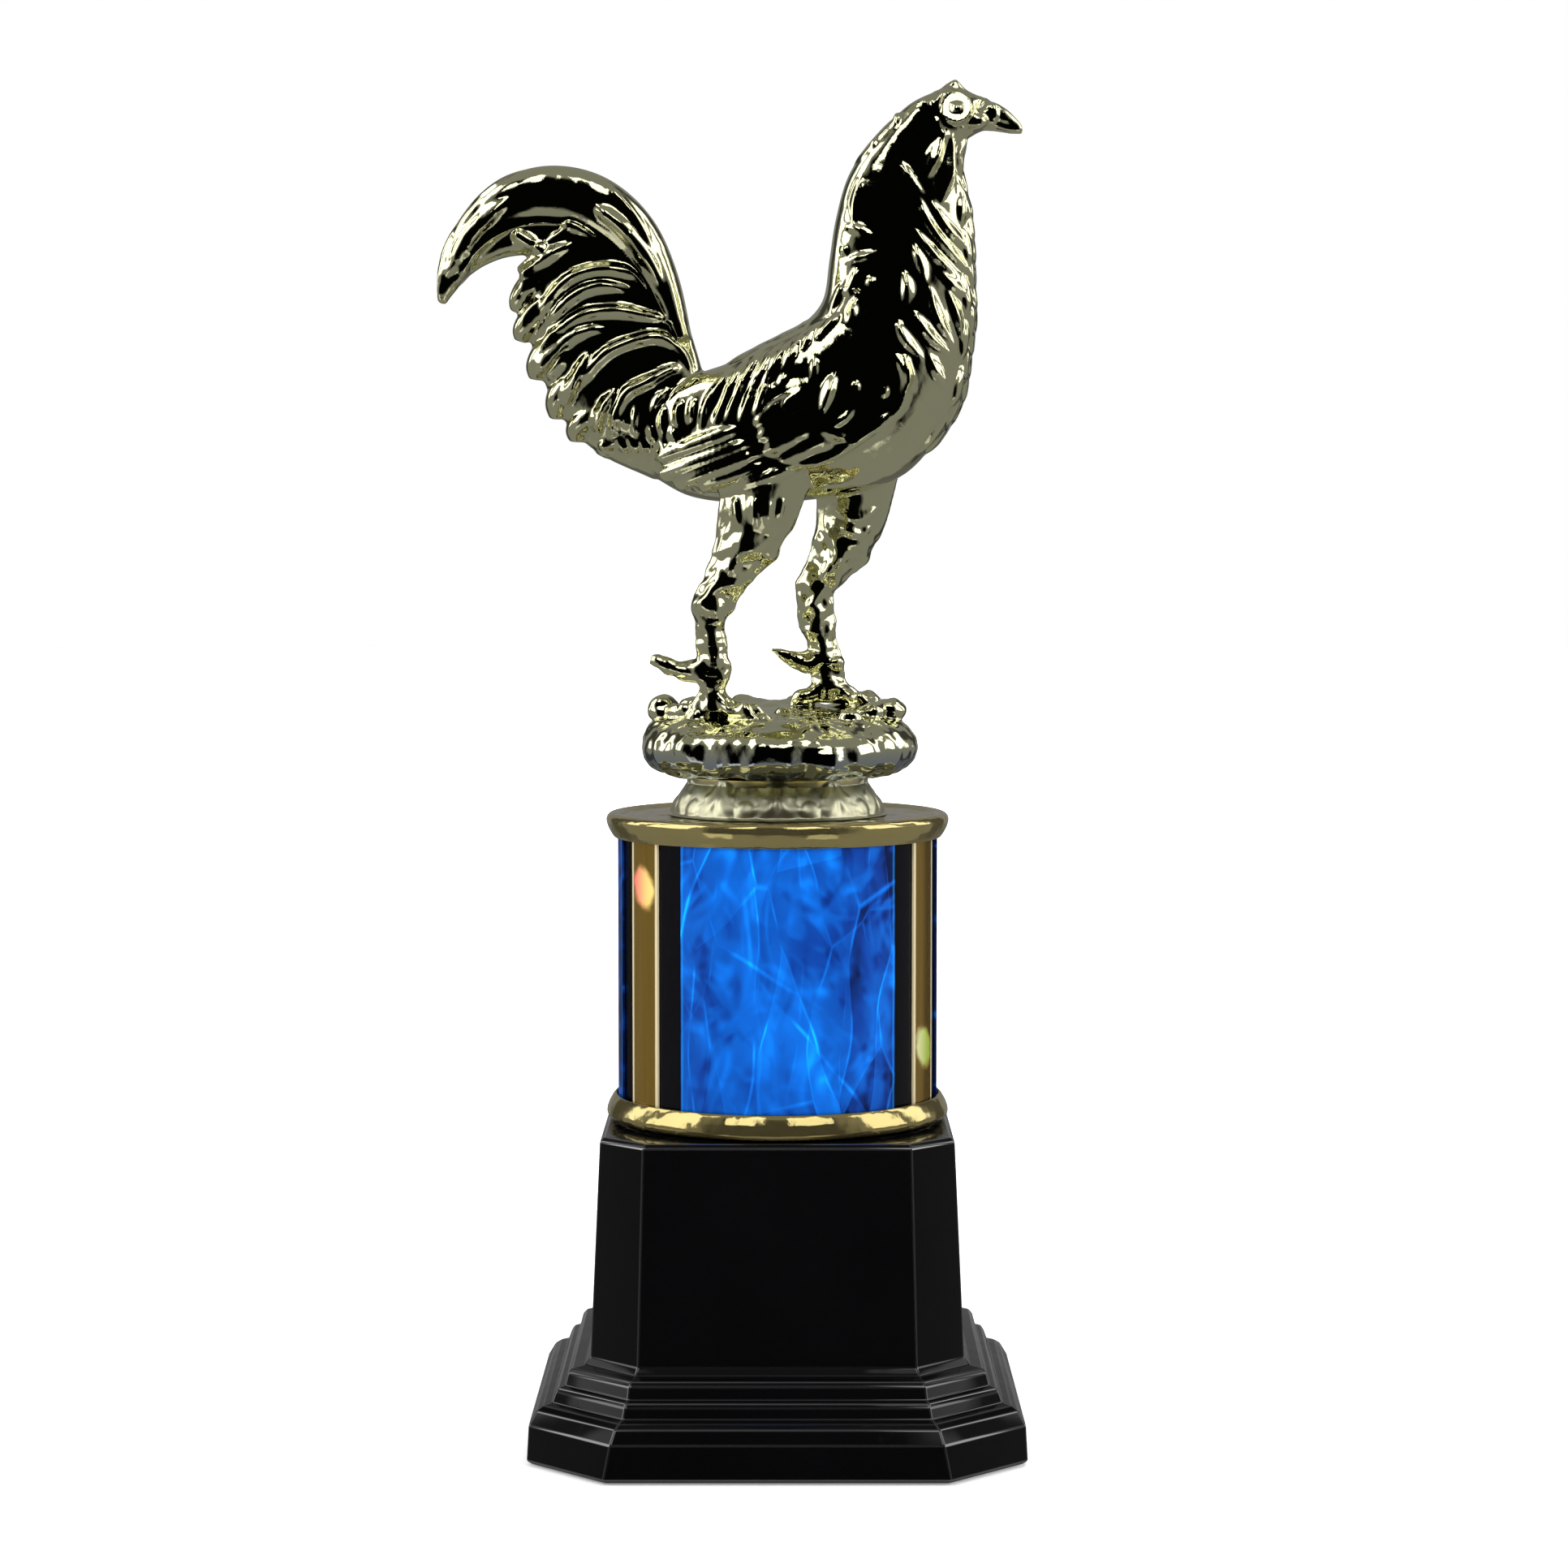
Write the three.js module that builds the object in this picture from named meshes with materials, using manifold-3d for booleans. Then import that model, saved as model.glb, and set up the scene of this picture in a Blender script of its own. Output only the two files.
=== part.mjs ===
// A column trophy: a gilt rooster on a rock mound and riser, over a round column with inlaid
// strips between two gilt collars, on a stepped black base. One threaded rod clamps the stack.
// Millimetres, +Z up. The origin is the centre of the base's underside, and the rooster faces +X.
import * as THREE from "three";
import { mergeVertices } from "three/addons/utils/BufferGeometryUtils.js";
import Module from "manifold-3d";

const wasm = await Module();
wasm.setup();

// ---------------------------------------------------------------- driving dimensions
const GAP = 0.3; // clearance kept between neighbouring pieces
const FILM_GAP = 0.1; // clearance under a bonded film

const BASE_HEIGHT = 50.3;
const BASE_WALL = 2.2;
const RIM_LIFT = 0.4; // the shell's rim stands this far above the pad's underside
const PAD_THICK = 1.5;
const WEIGHT_HALF = 29;
const WEIGHT_CUT = 9;
const WEIGHT_LOW = 10.4;
const WEIGHT_THICK = 3.3;

const ROD_R = 3.1; // a quarter-inch all-thread rod
const ROD_LOW = 1.8;
const ROD_HIGH = 112;
const ROD_HOLE_R = 3.5;
const NUT_FLAT = 11.1; // across flats
const NUT_THICK = 5.4;
const WASHER_R = 9;
const WASHER_THICK = 1.2;
const LOCK_WASHER_R = 5.8;
const LOCK_WASHER_THICK = 1.5;
const LOCK_WASHER_SLOT = 0.9;

const COLLAR_R = 27.3;
const COLLAR_HEIGHT = 3.9;
const COLLAR_DISC = 2;
const LOWER_COLLAR_Z = BASE_HEIGHT + GAP;
const TOP_COLLAR_Z = 95.5;
const COLUMN_R = 25; // the tube, under its films
const COLUMN_WALL = 2.4;
const FILM_THICK = 0.35;
const PLUG_THICK = 5;

const PANELS = 3; // blue panels round the column, with a gilt strip between each two
const PANEL_ARC = 84; // degrees
const STRIP_ARC = 16.2;
const PANEL_TURN = 4.9; // the front panel faces this far round towards +X from straight ahead

const RISER_R = 17.5;
const RISER_NECK_R = 14.6;
const RISER_HEIGHT = 6;
const MOUND_LOW = 105.4;
const MOUND_R = 22;
const SEAM = 0.15; // each half of the figure stops this far from the parting plane

// ---------------------------------------------------------------- solids and meshes
// A closed three.js geometry as a manifold-3d solid.
function solid(geometry) {
  const plain = geometry.index ? geometry.toNonIndexed() : geometry.clone();
  const bare = new THREE.BufferGeometry().setAttribute("position", plain.getAttribute("position"));
  const merged = mergeVertices(bare, 1e-4);
  const triVerts = new Uint32Array(merged.index.array);
  const vertProperties = merged.attributes.position.array;
  const made = new wasm.Manifold(new wasm.Mesh({ numProp: 3, vertProperties, triVerts }));
  if (made.volume() > 0) return made;
  for (let i = 0; i < triVerts.length; i += 3) {
    [triVerts[i + 1], triVerts[i + 2]] = [triVerts[i + 2], triVerts[i + 1]];
  }
  return new wasm.Manifold(new wasm.Mesh({ numProp: 3, vertProperties, triVerts }));
}

function geometryOf(made) {
  const mesh = made.getMesh();
  const points = new Float32Array(mesh.numVert * 3);
  for (let i = 0; i < mesh.numVert; i++) {
    points.set(mesh.vertProperties.subarray(i * mesh.numProp, i * mesh.numProp + 3), i * 3);
  }
  const geometry = new THREE.BufferGeometry();
  geometry.setAttribute("position", new THREE.BufferAttribute(points, 3));
  geometry.setIndex(new THREE.BufferAttribute(mesh.triVerts, 1));
  geometry.computeVertexNormals();
  return geometry;
}

const joined = (solids) => solids.reduce((whole, next) => whole.add(next));

// Rings of equally many points, joined into one closed solid with a fan at each end.
function loft(rings) {
  const size = rings[0].length;
  const points = rings.flat();
  const faces = [];
  for (let ring = 0; ring + 1 < rings.length; ring++) {
    for (let i = 0; i < size; i++) {
      const here = ring * size + i;
      const beside = ring * size + ((i + 1) % size);
      faces.push(here, beside, beside + size, here, beside + size, here + size);
    }
  }
  for (const [ring, outward] of [[0, false], [rings.length - 1, true]]) {
    const middle = new THREE.Vector3();
    rings[ring].forEach((p) => middle.addScaledVector(p, 1 / size));
    const hub = points.push(middle) - 1;
    for (let i = 0; i < size; i++) {
      const here = ring * size + i;
      const beside = ring * size + ((i + 1) % size);
      faces.push(hub, ...(outward ? [here, beside] : [beside, here]));
    }
  }
  const geometry = new THREE.BufferGeometry().setFromPoints(points);
  geometry.setIndex(faces);
  return solid(geometry);
}

// A turned piece from its (radius, height) profile, which starts and ends on the axis or closes.
function turned(profile, segments = 64) {
  const outline = profile.map(([r, z]) => new THREE.Vector2(r, z));
  return solid(new THREE.LatheGeometry(outline, segments).rotateX(Math.PI / 2));
}

function disc(radius, low, high, segments = 64) {
  return turned([[0, low], [radius, low], [radius, high], [0, high]], segments);
}

function ring(outer, inner, low, high, segments = 64) {
  return turned([[inner, low], [outer, low], [outer, high], [inner, high], [inner, low]], segments);
}

function block(width, depth, low, high) {
  const box = new THREE.BoxGeometry(width, depth, high - low);
  return solid(box.translate(0, 0, (low + high) / 2));
}

// A square with clipped corners: half its width, and how much of each side a corner takes off.
function clippedSquare(half, cut, z) {
  const flat = half - cut;
  return [
    [flat, -half], [half, -flat], [half, flat], [flat, half],
    [-flat, half], [-half, flat], [-half, -flat], [-flat, -half],
  ].map(([x, y]) => new THREE.Vector3(x, y, z));
}

const NUT_CORNER = NUT_FLAT / Math.sqrt(3);

function hexNut(low) {
  const thread = disc(ROD_R + 0.15, low - 1, low + NUT_THICK + 1, 24);
  return disc(NUT_CORNER, low, low + NUT_THICK, 6).subtract(thread);
}

// ---------------------------------------------------------------- base
// Outer levels from the floor up: height, half width, corner cut.
const baseLevels = [
  [RIM_LIFT, 38.3, 12.1],
  [RIM_LIFT + 0.5, 38.7, 12.3],
  [6.2, 38.4, 13.1],
  [8.6, 36.9, 12.5],
  [9.2, 36.2, 12.2],
  [9.4, 34.7, 11.3],
  [11.0, 34.3, 11.1],
  [11.6, 33.8, 10.8],
  [11.8, 32.9, 10.1],
  [13.8, 32.4, 9.8],
  [14.5, 31.8, 9.5],
  [15.1, 29.6, 7.9],
  [16.0, 29.0, 7.6],
  [49.6, 27.5, 6.9],
  [BASE_HEIGHT, 26.8, 6.5],
];
const innerLevels = [
  [RIM_LIFT - 1, 36.5, 11.4],
  [7.2, 36.2, 12.2],
  [7.4, 32.2, 10.4],
  [9.5, 31.4, 9.6],
  [9.6, 30.2, 9.2],
  [14.0, 29.4, 9.0],
  [14.1, 26.8, 6.7],
  [BASE_HEIGHT - BASE_WALL, 25.2, 6.0],
];
const ribLow = WEIGHT_LOW + WEIGHT_THICK + GAP;

function baseShell() {
  const outside = loft(baseLevels.map(([z, half, cut]) => clippedSquare(half, cut, z)));
  const inside = loft(innerLevels.map(([z, half, cut]) => clippedSquare(half, cut, z)));
  const ribHigh = BASE_HEIGHT - BASE_WALL + 0.5;
  const ribThick = 1.6;
  const ribSpan = 2 * 26.6;
  const ribs = joined([
    block(ribSpan, ribThick, ribLow, ribHigh),
    block(ribThick, ribSpan, ribLow, ribHigh),
    disc(ROD_HOLE_R + 2, ribLow, ribHigh, 32),
  ]).intersect(outside);
  return outside.subtract(inside).add(ribs).subtract(disc(ROD_HOLE_R, ribLow - 1, BASE_HEIGHT + 1, 32));
}

function basePad() {
  return loft([clippedSquare(36, 11.2, 0), clippedSquare(36, 11.2, PAD_THICK)]);
}

function baseWeight() {
  const high = WEIGHT_LOW + WEIGHT_THICK;
  const plate = loft([clippedSquare(WEIGHT_HALF, WEIGHT_CUT, WEIGHT_LOW), clippedSquare(WEIGHT_HALF, WEIGHT_CUT, high)]);
  return plate.subtract(disc(ROD_HOLE_R, WEIGHT_LOW - 1, high + 1, 32));
}

// The hardware under the weight, from the top down.
const washerLow = WEIGHT_LOW - FILM_GAP - WASHER_THICK;
const lockWasherLow = washerLow - FILM_GAP - LOCK_WASHER_THICK;
const baseNutLow = lockWasherLow - FILM_GAP - NUT_THICK;

function lockWasher() {
  const high = lockWasherLow + LOCK_WASHER_THICK;
  const slot = block(LOCK_WASHER_R, LOCK_WASHER_SLOT, lockWasherLow - 1, high + 1);
  return ring(LOCK_WASHER_R, ROD_HOLE_R, lockWasherLow, high, 32).subtract(slot.translate([LOCK_WASHER_R, 0, 0]));
}

function threadedRod() {
  const chamfer = 0.6;
  return turned([
    [0, ROD_LOW], [ROD_R - chamfer, ROD_LOW], [ROD_R, ROD_LOW + chamfer],
    [ROD_R, ROD_HIGH - chamfer], [ROD_R - chamfer, ROD_HIGH], [0, ROD_HIGH],
  ], 20);
}

// ---------------------------------------------------------------- column
// A collar is a shallow cup with a flared, rolled rim round its closed end, which is slightly
// dished. The column goes into the open end. The top collar has its closed end up.
const COLLAR_DISH = 0.4;

function collar(low, closedUp) {
  const cup = COLUMN_R + FILM_GAP + FILM_THICK + GAP;
  const floor = COLLAR_HEIGHT - COLLAR_DISC;
  const face = COLLAR_HEIGHT - COLLAR_DISH;
  const section = [
    [cup, 0], [COLLAR_R - 1.3, 0], [COLLAR_R - 0.4, 1.6], [COLLAR_R, 2.7], [COLLAR_R - 0.4, 3.6],
    [COLLAR_R - 1.3, COLLAR_HEIGHT], [COLLAR_R - 2.2, COLLAR_HEIGHT], [COLLAR_R - 2.7, face],
    [ROD_HOLE_R, face], [ROD_HOLE_R, floor], [cup, floor], [cup, 0],
  ];
  const place = closedUp ? (z) => low + z : (z) => low + COLLAR_HEIGHT - z;
  return turned(section.map(([r, z]) => [r, place(z)]), 48);
}

const columnLow = LOWER_COLLAR_Z + COLLAR_DISC + GAP;
const columnHigh = TOP_COLLAR_Z + COLLAR_HEIGHT - COLLAR_DISC - GAP;

const columnTube = () => ring(COLUMN_R, COLUMN_R - COLUMN_WALL, columnLow, columnHigh, 72);

function plug(low) {
  return ring(COLUMN_R - COLUMN_WALL - GAP, ROD_HOLE_R, low, low + PLUG_THICK, 48);
}

// A film wrapped on the tube: its middle's angle from straight ahead (-Y) towards +X, and its arc.
function film(middle, arc) {
  const inner = COLUMN_R + FILM_GAP;
  const outer = inner + FILM_THICK;
  const steps = Math.max(3, Math.round(arc / 5));
  const outline = new THREE.Shape();
  const at = (radius, degrees) => {
    const angle = THREE.MathUtils.degToRad(degrees);
    return [radius * Math.sin(angle), -radius * Math.cos(angle)];
  };
  for (let i = 0; i <= steps; i++) {
    const point = at(outer, middle - arc / 2 + (arc * i) / steps);
    if (i) outline.lineTo(...point);
    else outline.moveTo(...point);
  }
  for (let i = steps; i >= 0; i--) outline.lineTo(...at(inner, middle - arc / 2 + (arc * i) / steps));
  const depth = columnHigh - columnLow - 0.4;
  const sheet = new THREE.ExtrudeGeometry(outline, { depth, bevelEnabled: false });
  return solid(sheet.translate(0, 0, columnLow + 0.2));
}

// ---------------------------------------------------------------- riser and mound
const riserLow = TOP_COLLAR_Z + COLLAR_HEIGHT - COLLAR_DISH + FILM_GAP;

function riser() {
  const wall = 2;
  const high = riserLow + RISER_HEIGHT;
  const steps = 6;
  const outside = [];
  for (let i = 0; i <= steps; i++) {
    const rise = i / steps;
    const radius = RISER_NECK_R + (RISER_R - RISER_NECK_R) * Math.cos((rise * Math.PI) / 2) ** 1.2;
    outside.push([radius, riserLow + RISER_HEIGHT * rise]);
  }
  return turned([
    [RISER_R - wall, riserLow], ...outside,
    [ROD_HOLE_R, high], [ROD_HOLE_R, high - wall], [RISER_NECK_R - wall, high - wall],
    [RISER_R - wall, riserLow],
  ], 40);
}

// The mound's side from its underside to the middle of its top: share of the radius, height.
const moundSide = [
  [0.78, 0], [0.88, 0.6], [0.96, 2.2], [1, 4.4], [0.985, 6.8], [0.93, 8.8], [0.84, 9.9], [0.66, 10.1],
  [0.35, 10.1],
];
const FIRST_TOP_LEVEL = 5; // from this level on, the mound's top slopes up towards the back
const MOUND_SLOPE = 0.085;
// Stones on the mound: centre and radius.
const stones = [
  [-17.2, 1, 115.4, 2.5], [-13.6, 7, 115.6, 2], [17.6, 0, 115.7, 2.3], [14.4, 4.5, 116.2, 1.7],
  [-2, -9.5, 114.4, 1.7], [3.4, 13, 116.1, 2.2], [-6, 14.5, 115.6, 2],
];

function mound() {
  const segments = 40;
  const rings = moundSide.map(([share, height], level) => {
    const points = [];
    for (let i = 0; i < segments; i++) {
      const angle = (2 * Math.PI * i) / segments;
      const lumps = 1 + 0.02 * Math.sin(5 * angle + 0.9 * level) + 0.012 * Math.sin(9 * angle - level);
      const x = MOUND_R * share * lumps * Math.cos(angle);
      const y = 0.92 * MOUND_R * share * lumps * Math.sin(angle);
      const rise = level < FIRST_TOP_LEVEL ? 0 : MOUND_SLOPE * y + 0.3 * Math.sin(4 * angle + level);
      points.push(new THREE.Vector3(x, y, MOUND_LOW + height + rise));
    }
    return points;
  });
  const pebbles = stones.map(([x, y, z, radius]) => {
    return solid(new THREE.IcosahedronGeometry(radius, 1).translate(x, y, z));
  });
  return joined([loft(rings), ...pebbles]);
}

// The room inside the mound for the trapped nut and the rod's end.
function insertRoom() {
  const pocket = disc(NUT_CORNER + GAP, MOUND_LOW - 1, MOUND_LOW + NUT_THICK + 2 * GAP, 6);
  return pocket.add(disc(ROD_HOLE_R, MOUND_LOW - 1, ROD_HIGH + GAP, 20));
}

// ---------------------------------------------------------------- rooster
// One cross-section: two points of the outline in the XZ plane, and half the thickness along Y.
// A fourth value, where there is one, is the Y of the section's middle.
// Lofts through sections, with a smooth curve between them, and perSpan rings for each section.
function body(sections, { side = 0, perSpan = 2, points = 14 } = {}) {
  const curve = (pick) => {
    return new THREE.CatmullRomCurve3(sections.map((section) => new THREE.Vector3(...pick(section))));
  };
  const backs = curve(([back]) => [back[0], 0, back[1]]);
  const fronts = curve(([, front]) => [front[0], 0, front[1]]);
  const thick = curve(([, , half, middle = side]) => [half, middle, 0]);
  const count = (sections.length - 1) * perSpan;
  const rings = [];
  for (let i = 0; i <= count; i++) {
    const back = backs.getPoint(i / count);
    const front = fronts.getPoint(i / count);
    const { x: half, y: middle } = thick.getPoint(i / count);
    const centre = back.clone().add(front).multiplyScalar(0.5);
    const across = back.clone().sub(front).multiplyScalar(0.5);
    const loop = [];
    for (let k = 0; k < points; k++) {
      const angle = (2 * Math.PI * k) / points;
      const point = centre.clone().addScaledVector(across, Math.cos(angle));
      point.y = middle + half * Math.sin(angle);
      loop.push(point);
    }
    rings.push(loop);
  }
  return loft(rings);
}

// Back point, front point, half thickness: from the head down the neck and along the trunk.
const trunkSections = [
  [[25.5, 213.2], [29.9, 205.4], 3.5],
  [[20.5, 210.7], [28.8, 202], 4.4],
  [[15, 205.2], [29.3, 197.8], 5.7],
  [[11.2, 199.8], [30.5, 193.6], 6.9],
  [[9, 193], [31.1, 188.6], 8],
  [[8, 186.6], [31.1, 183], 9],
  [[7.2, 180.4], [31.6, 177.6], 10],
  [[4.2, 176.7], [30.8, 171], 11.2],
  [[0, 174.4], [29.6, 164.4], 12.2],
  [[-4, 172.4], [25.4, 158], 12.8],
  [[-8, 170.3], [19.6, 152.2], 12.5],
  [[-10.6, 169.4], [9.5, 149.2], 11.8],
  [[-13, 168.6], [-2, 148], 10.4],
  [[-15.6, 167.6], [-13, 148.8], 8.8],
  [[-18, 166.6], [-20.4, 152.4], 6.8],
];
const tailSections = [
  [[-11.6, 168.4], [-19.4, 151.6], 7],
  [[-12.6, 172], [-29, 155.4], 6.4],
  [[-14.4, 178], [-35.6, 161.4], 5.4],
  [[-16.2, 183.6], [-39, 168], 4.7],
  [[-19.2, 189], [-41.4, 175.2], 4.1],
  [[-23, 195], [-41.4, 181.8], 3.7],
  [[-28.4, 199.6], [-42.2, 185.6], 3.3],
  [[-35, 201.5], [-44.4, 186.4], 3],
  [[-41.5, 200.6], [-46.8, 185.4], 2.6],
  [[-47.4, 196.2], [-48.8, 183.6], 2.1],
  [[-51.6, 189.6], [-50.6, 181.2], 1.6],
  [[-53.7, 182.4], [-52.2, 179], 0.9],
];
const headSections = [
  [[24.6, 213], [27.6, 204.6], 3.4],
  [[26.8, 213.6], [30.2, 205.4], 3.9],
  [[29.4, 212.9], [31.6, 206.2], 3.4],
  [[31.8, 212], [33, 206.8], 2.4],
  [[33.8, 211.2], [34.2, 206.9], 1.7],
  [[36, 209.6], [36.2, 206.7], 1.1],
  [[38.2, 207.6], [38, 206.6], 0.4],
];
const combSections = [
  [[25.6, 213.9], [25.9, 211.5], 0.7],
  [[28, 215.1], [28, 211.5], 1],
  [[29.6, 213.7], [29.4, 211], 1],
  [[31.4, 212.5], [31.2, 210.5], 0.7],
];
// The right leg is nearer to the front of the stand and further back; the left leg steps forward.
const rightLegSections = [
  [[-8.6, 154], [7.5, 155], 5.6],
  [[-9.2, 148.5], [4.8, 149.5], 5.8],
  [[-9.8, 144], [2.9, 144.5], 5.3],
  [[-10.4, 140.4], [0.6, 140.8], 4.6],
  [[-11.6, 137.4], [-3.4, 136.9], 3.6],
  [[-12.9, 134.8], [-5.4, 134], 3],
  [[-14, 132.2], [-6.6, 131.6], 2.8],
  [[-13.6, 129.6], [-8.1, 129.6], 2.3],
  [[-13.1, 126.4], [-8.2, 126.4], 2.1],
  [[-12.8, 123], [-7.5, 122.6], 2.3],
  [[-12.6, 120.4], [-8, 120], 2.2],
  [[-13.2, 117.6], [-8, 117.2], 2.5],
  [[-13.4, 115.6], [-7.4, 115.4], 2.8],
];
const leftLegSections = [
  [[5.5, 154], [20.6, 156], 5.6],
  [[6.2, 148.6], [18.6, 148.6], 5.8],
  [[5.8, 144], [17.2, 143.6], 5.2],
  [[5.2, 140], [14.8, 139.4], 4.4],
  [[3.8, 137.2], [11.6, 136.4], 3.5],
  [[2.8, 134.6], [9.6, 134], 2.8],
  [[2.7, 131.6], [9.3, 131.2], 2.5],
  [[3.8, 128.6], [9.4, 128.4], 2.2],
  [[4.8, 125.4], [10.2, 125], 2.2],
  [[5.2, 122.4], [10.6, 121.8], 2.3],
  [[5.3, 119.8], [10.8, 119.4], 2.4],
  [[5.1, 116.8], [11.4, 116.6], 2.8],
];
const LEG_SPREAD = 6.6;

// A tapering finger from one point to another, for spurs and toes. bow is its middle's rise, as a
// share of its length.
function finger(from, to, thick, thin, bow) {
  const start = new THREE.Vector3(...from);
  const along = new THREE.Vector3(...to).sub(start);
  const up = new THREE.Vector3(0, 0, 1).addScaledVector(along, -along.z / along.lengthSq()).normalize();
  const beside = along.clone().normalize().cross(up);
  const steps = 4;
  const sides = 8;
  const rings = [];
  for (let i = 0; i <= steps; i++) {
    const radius = thick + (thin - thick) * (i / steps);
    const rise = bow * along.length() * Math.sin((Math.PI * i) / steps);
    const centre = start.clone().addScaledVector(along, i / steps).addScaledVector(up, rise);
    const loop = [];
    for (let k = 0; k < sides; k++) {
      const angle = (2 * Math.PI * k) / sides;
      const point = centre.clone().addScaledVector(up, radius * Math.cos(angle));
      loop.push(point.addScaledVector(beside, radius * Math.sin(angle)));
    }
    rings.push(loop);
  }
  return loft(rings);
}

// One leg with its spur and foot: ankleX is where the shank comes down, sole where the toes lie.
function leg(sections, side, ankleX, sole) {
  const y = side * LEG_SPREAD;
  const root = [ankleX, y, sole + 2.4];
  const parts = [
    body(sections, { side: y, perSpan: 1, points: 12 }),
    finger([ankleX, y, sole + 7], [ankleX - 10, y - side * 1.2, sole + 9], 1.7, 0.4, -0.08),
    finger(root, [ankleX - 5.2, y - side * 1.5, sole + 0.2], 1.7, 0.8, 0.06),
  ];
  for (const [reach, spread] of [[6.4, 4.4], [8.4, 0.4], [6.6, -3.4]]) {
    parts.push(finger(root, [ankleX + reach, y + side * spread, sole], 1.9, 0.8, 0.06));
  }
  return joined(parts);
}

// The hollow that coring leaves in each half of the trunk.
const hollowSections = [
  [[16.5, 196], [25.5, 193], 3.4],
  [[13, 185], [26, 183], 5],
  [[9, 175], [24, 169], 7.5],
  [[2, 169], [20, 160], 8.6],
  [[-4, 166], [8, 155], 7.4],
  [[-9, 163.5], [-5, 156], 4.2],
];

function wing(side) {
  const sections = [
    [[18, 170], [20, 161], 1.6],
    [[10, 174], [16, 157.6], 3.2],
    [[2, 172], [8, 154.4], 3.6],
    [[-6, 168], [-3, 151.8], 3],
    [[-13, 162], [-12, 150.6], 2],
    [[-18.5, 156.6], [-17.6, 151.8], 1],
  ];
  const offsets = [9.4, 10, 10.4, 9.6, 7.8, 5.6];
  return body(sections.map((section, i) => [...section, side * offsets[i]]), { points: 12 });
}

function rooster() {
  return joined([
    body(trunkSections, { points: 18 }),
    body(tailSections),
    body(headSections, { points: 12 }),
    body(combSections, { perSpan: 1, points: 8 }),
    wing(-1),
    wing(1),
    leg(rightLegSections, -1, -10.4, 114.9),
    leg(leftLegSections, 1, 8, 116.2),
  ]);
}

// One moulded half of the figure and its mound, cored out, on one side of the parting plane.
function figureHalf(side, figure) {
  const reach = 120;
  const keep = new THREE.BoxGeometry(2 * reach, reach, 2 * reach);
  keep.translate(0, side * (reach / 2 + SEAM), 160);
  return figure.intersect(solid(keep));
}

// ---------------------------------------------------------------- assembly
const gilt = { color: 0xb9b184, roughness: 0.12, metalness: 1 };
const brassGilt = { color: 0xa98b45, roughness: 0.14, metalness: 1 };
const blackGloss = { color: 0x060607, roughness: 0.08, metalness: 0 };
const steel = { color: 0x9a9da1, roughness: 0.35, metalness: 1 };
const castIron = { color: 0x2e2f31, roughness: 0.7, metalness: 0.6 };
const felt = { color: 0x101211, roughness: 0.95, metalness: 0 };
const board = { color: 0x8a6f4d, roughness: 0.9, metalness: 0 };
const blueFoil = { color: 0x0a4fb4, roughness: 0.15, metalness: 0.4 };
const blackTube = { color: 0x0c0c10, roughness: 0.25, metalness: 0 };

const trophy = new THREE.Group();

function add(name, made, look) {
  const mesh = new THREE.Mesh(geometryOf(made), new THREE.MeshStandardMaterial(look));
  mesh.name = name;
  trophy.add(mesh);
}

add("base_pad", basePad(), felt);
add("base_shell", baseShell(), blackGloss);
add("base_weight", baseWeight(), castIron);
add("base_washer", ring(WASHER_R, ROD_HOLE_R, washerLow, washerLow + WASHER_THICK, 32), steel);
add("base_lock_washer", lockWasher(), steel);
add("base_nut", hexNut(baseNutLow), steel);
add("threaded_rod", threadedRod(), steel);
add("lower_collar", collar(LOWER_COLLAR_Z, false), brassGilt);
add("lower_plug", plug(columnLow), board);
add("column_tube", columnTube(), blackTube);
for (let i = 0; i < PANELS; i++) {
  const turn = (360 / PANELS) * i + PANEL_TURN;
  add(`blue_panel_${i + 1}`, film(turn, PANEL_ARC), blueFoil);
  add(`gilt_strip_${i + 1}`, film(turn + 180 / PANELS, STRIP_ARC), brassGilt);
}
add("upper_plug", plug(columnHigh - PLUG_THICK), board);
add("top_collar", collar(TOP_COLLAR_Z, true), brassGilt);
add("riser", riser(), gilt);
add("insert_nut", hexNut(MOUND_LOW + GAP), steel);

const hollow = body(hollowSections, { points: 10 }).add(insertRoom());
const figure = rooster().add(mound()).subtract(hollow);
add("figure_right_half", figureHalf(-1, figure), gilt);
add("figure_left_half", figureHalf(1, figure), gilt);

export default trophy;
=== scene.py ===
"""A column trophy: gilt rooster, inlaid column and stepped black base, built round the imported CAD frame."""

import math

import bmesh
import bpy
import numpy as np
from mathutils import Matrix, Vector, noise
from mathutils.bvhtree import BVHTree


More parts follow.
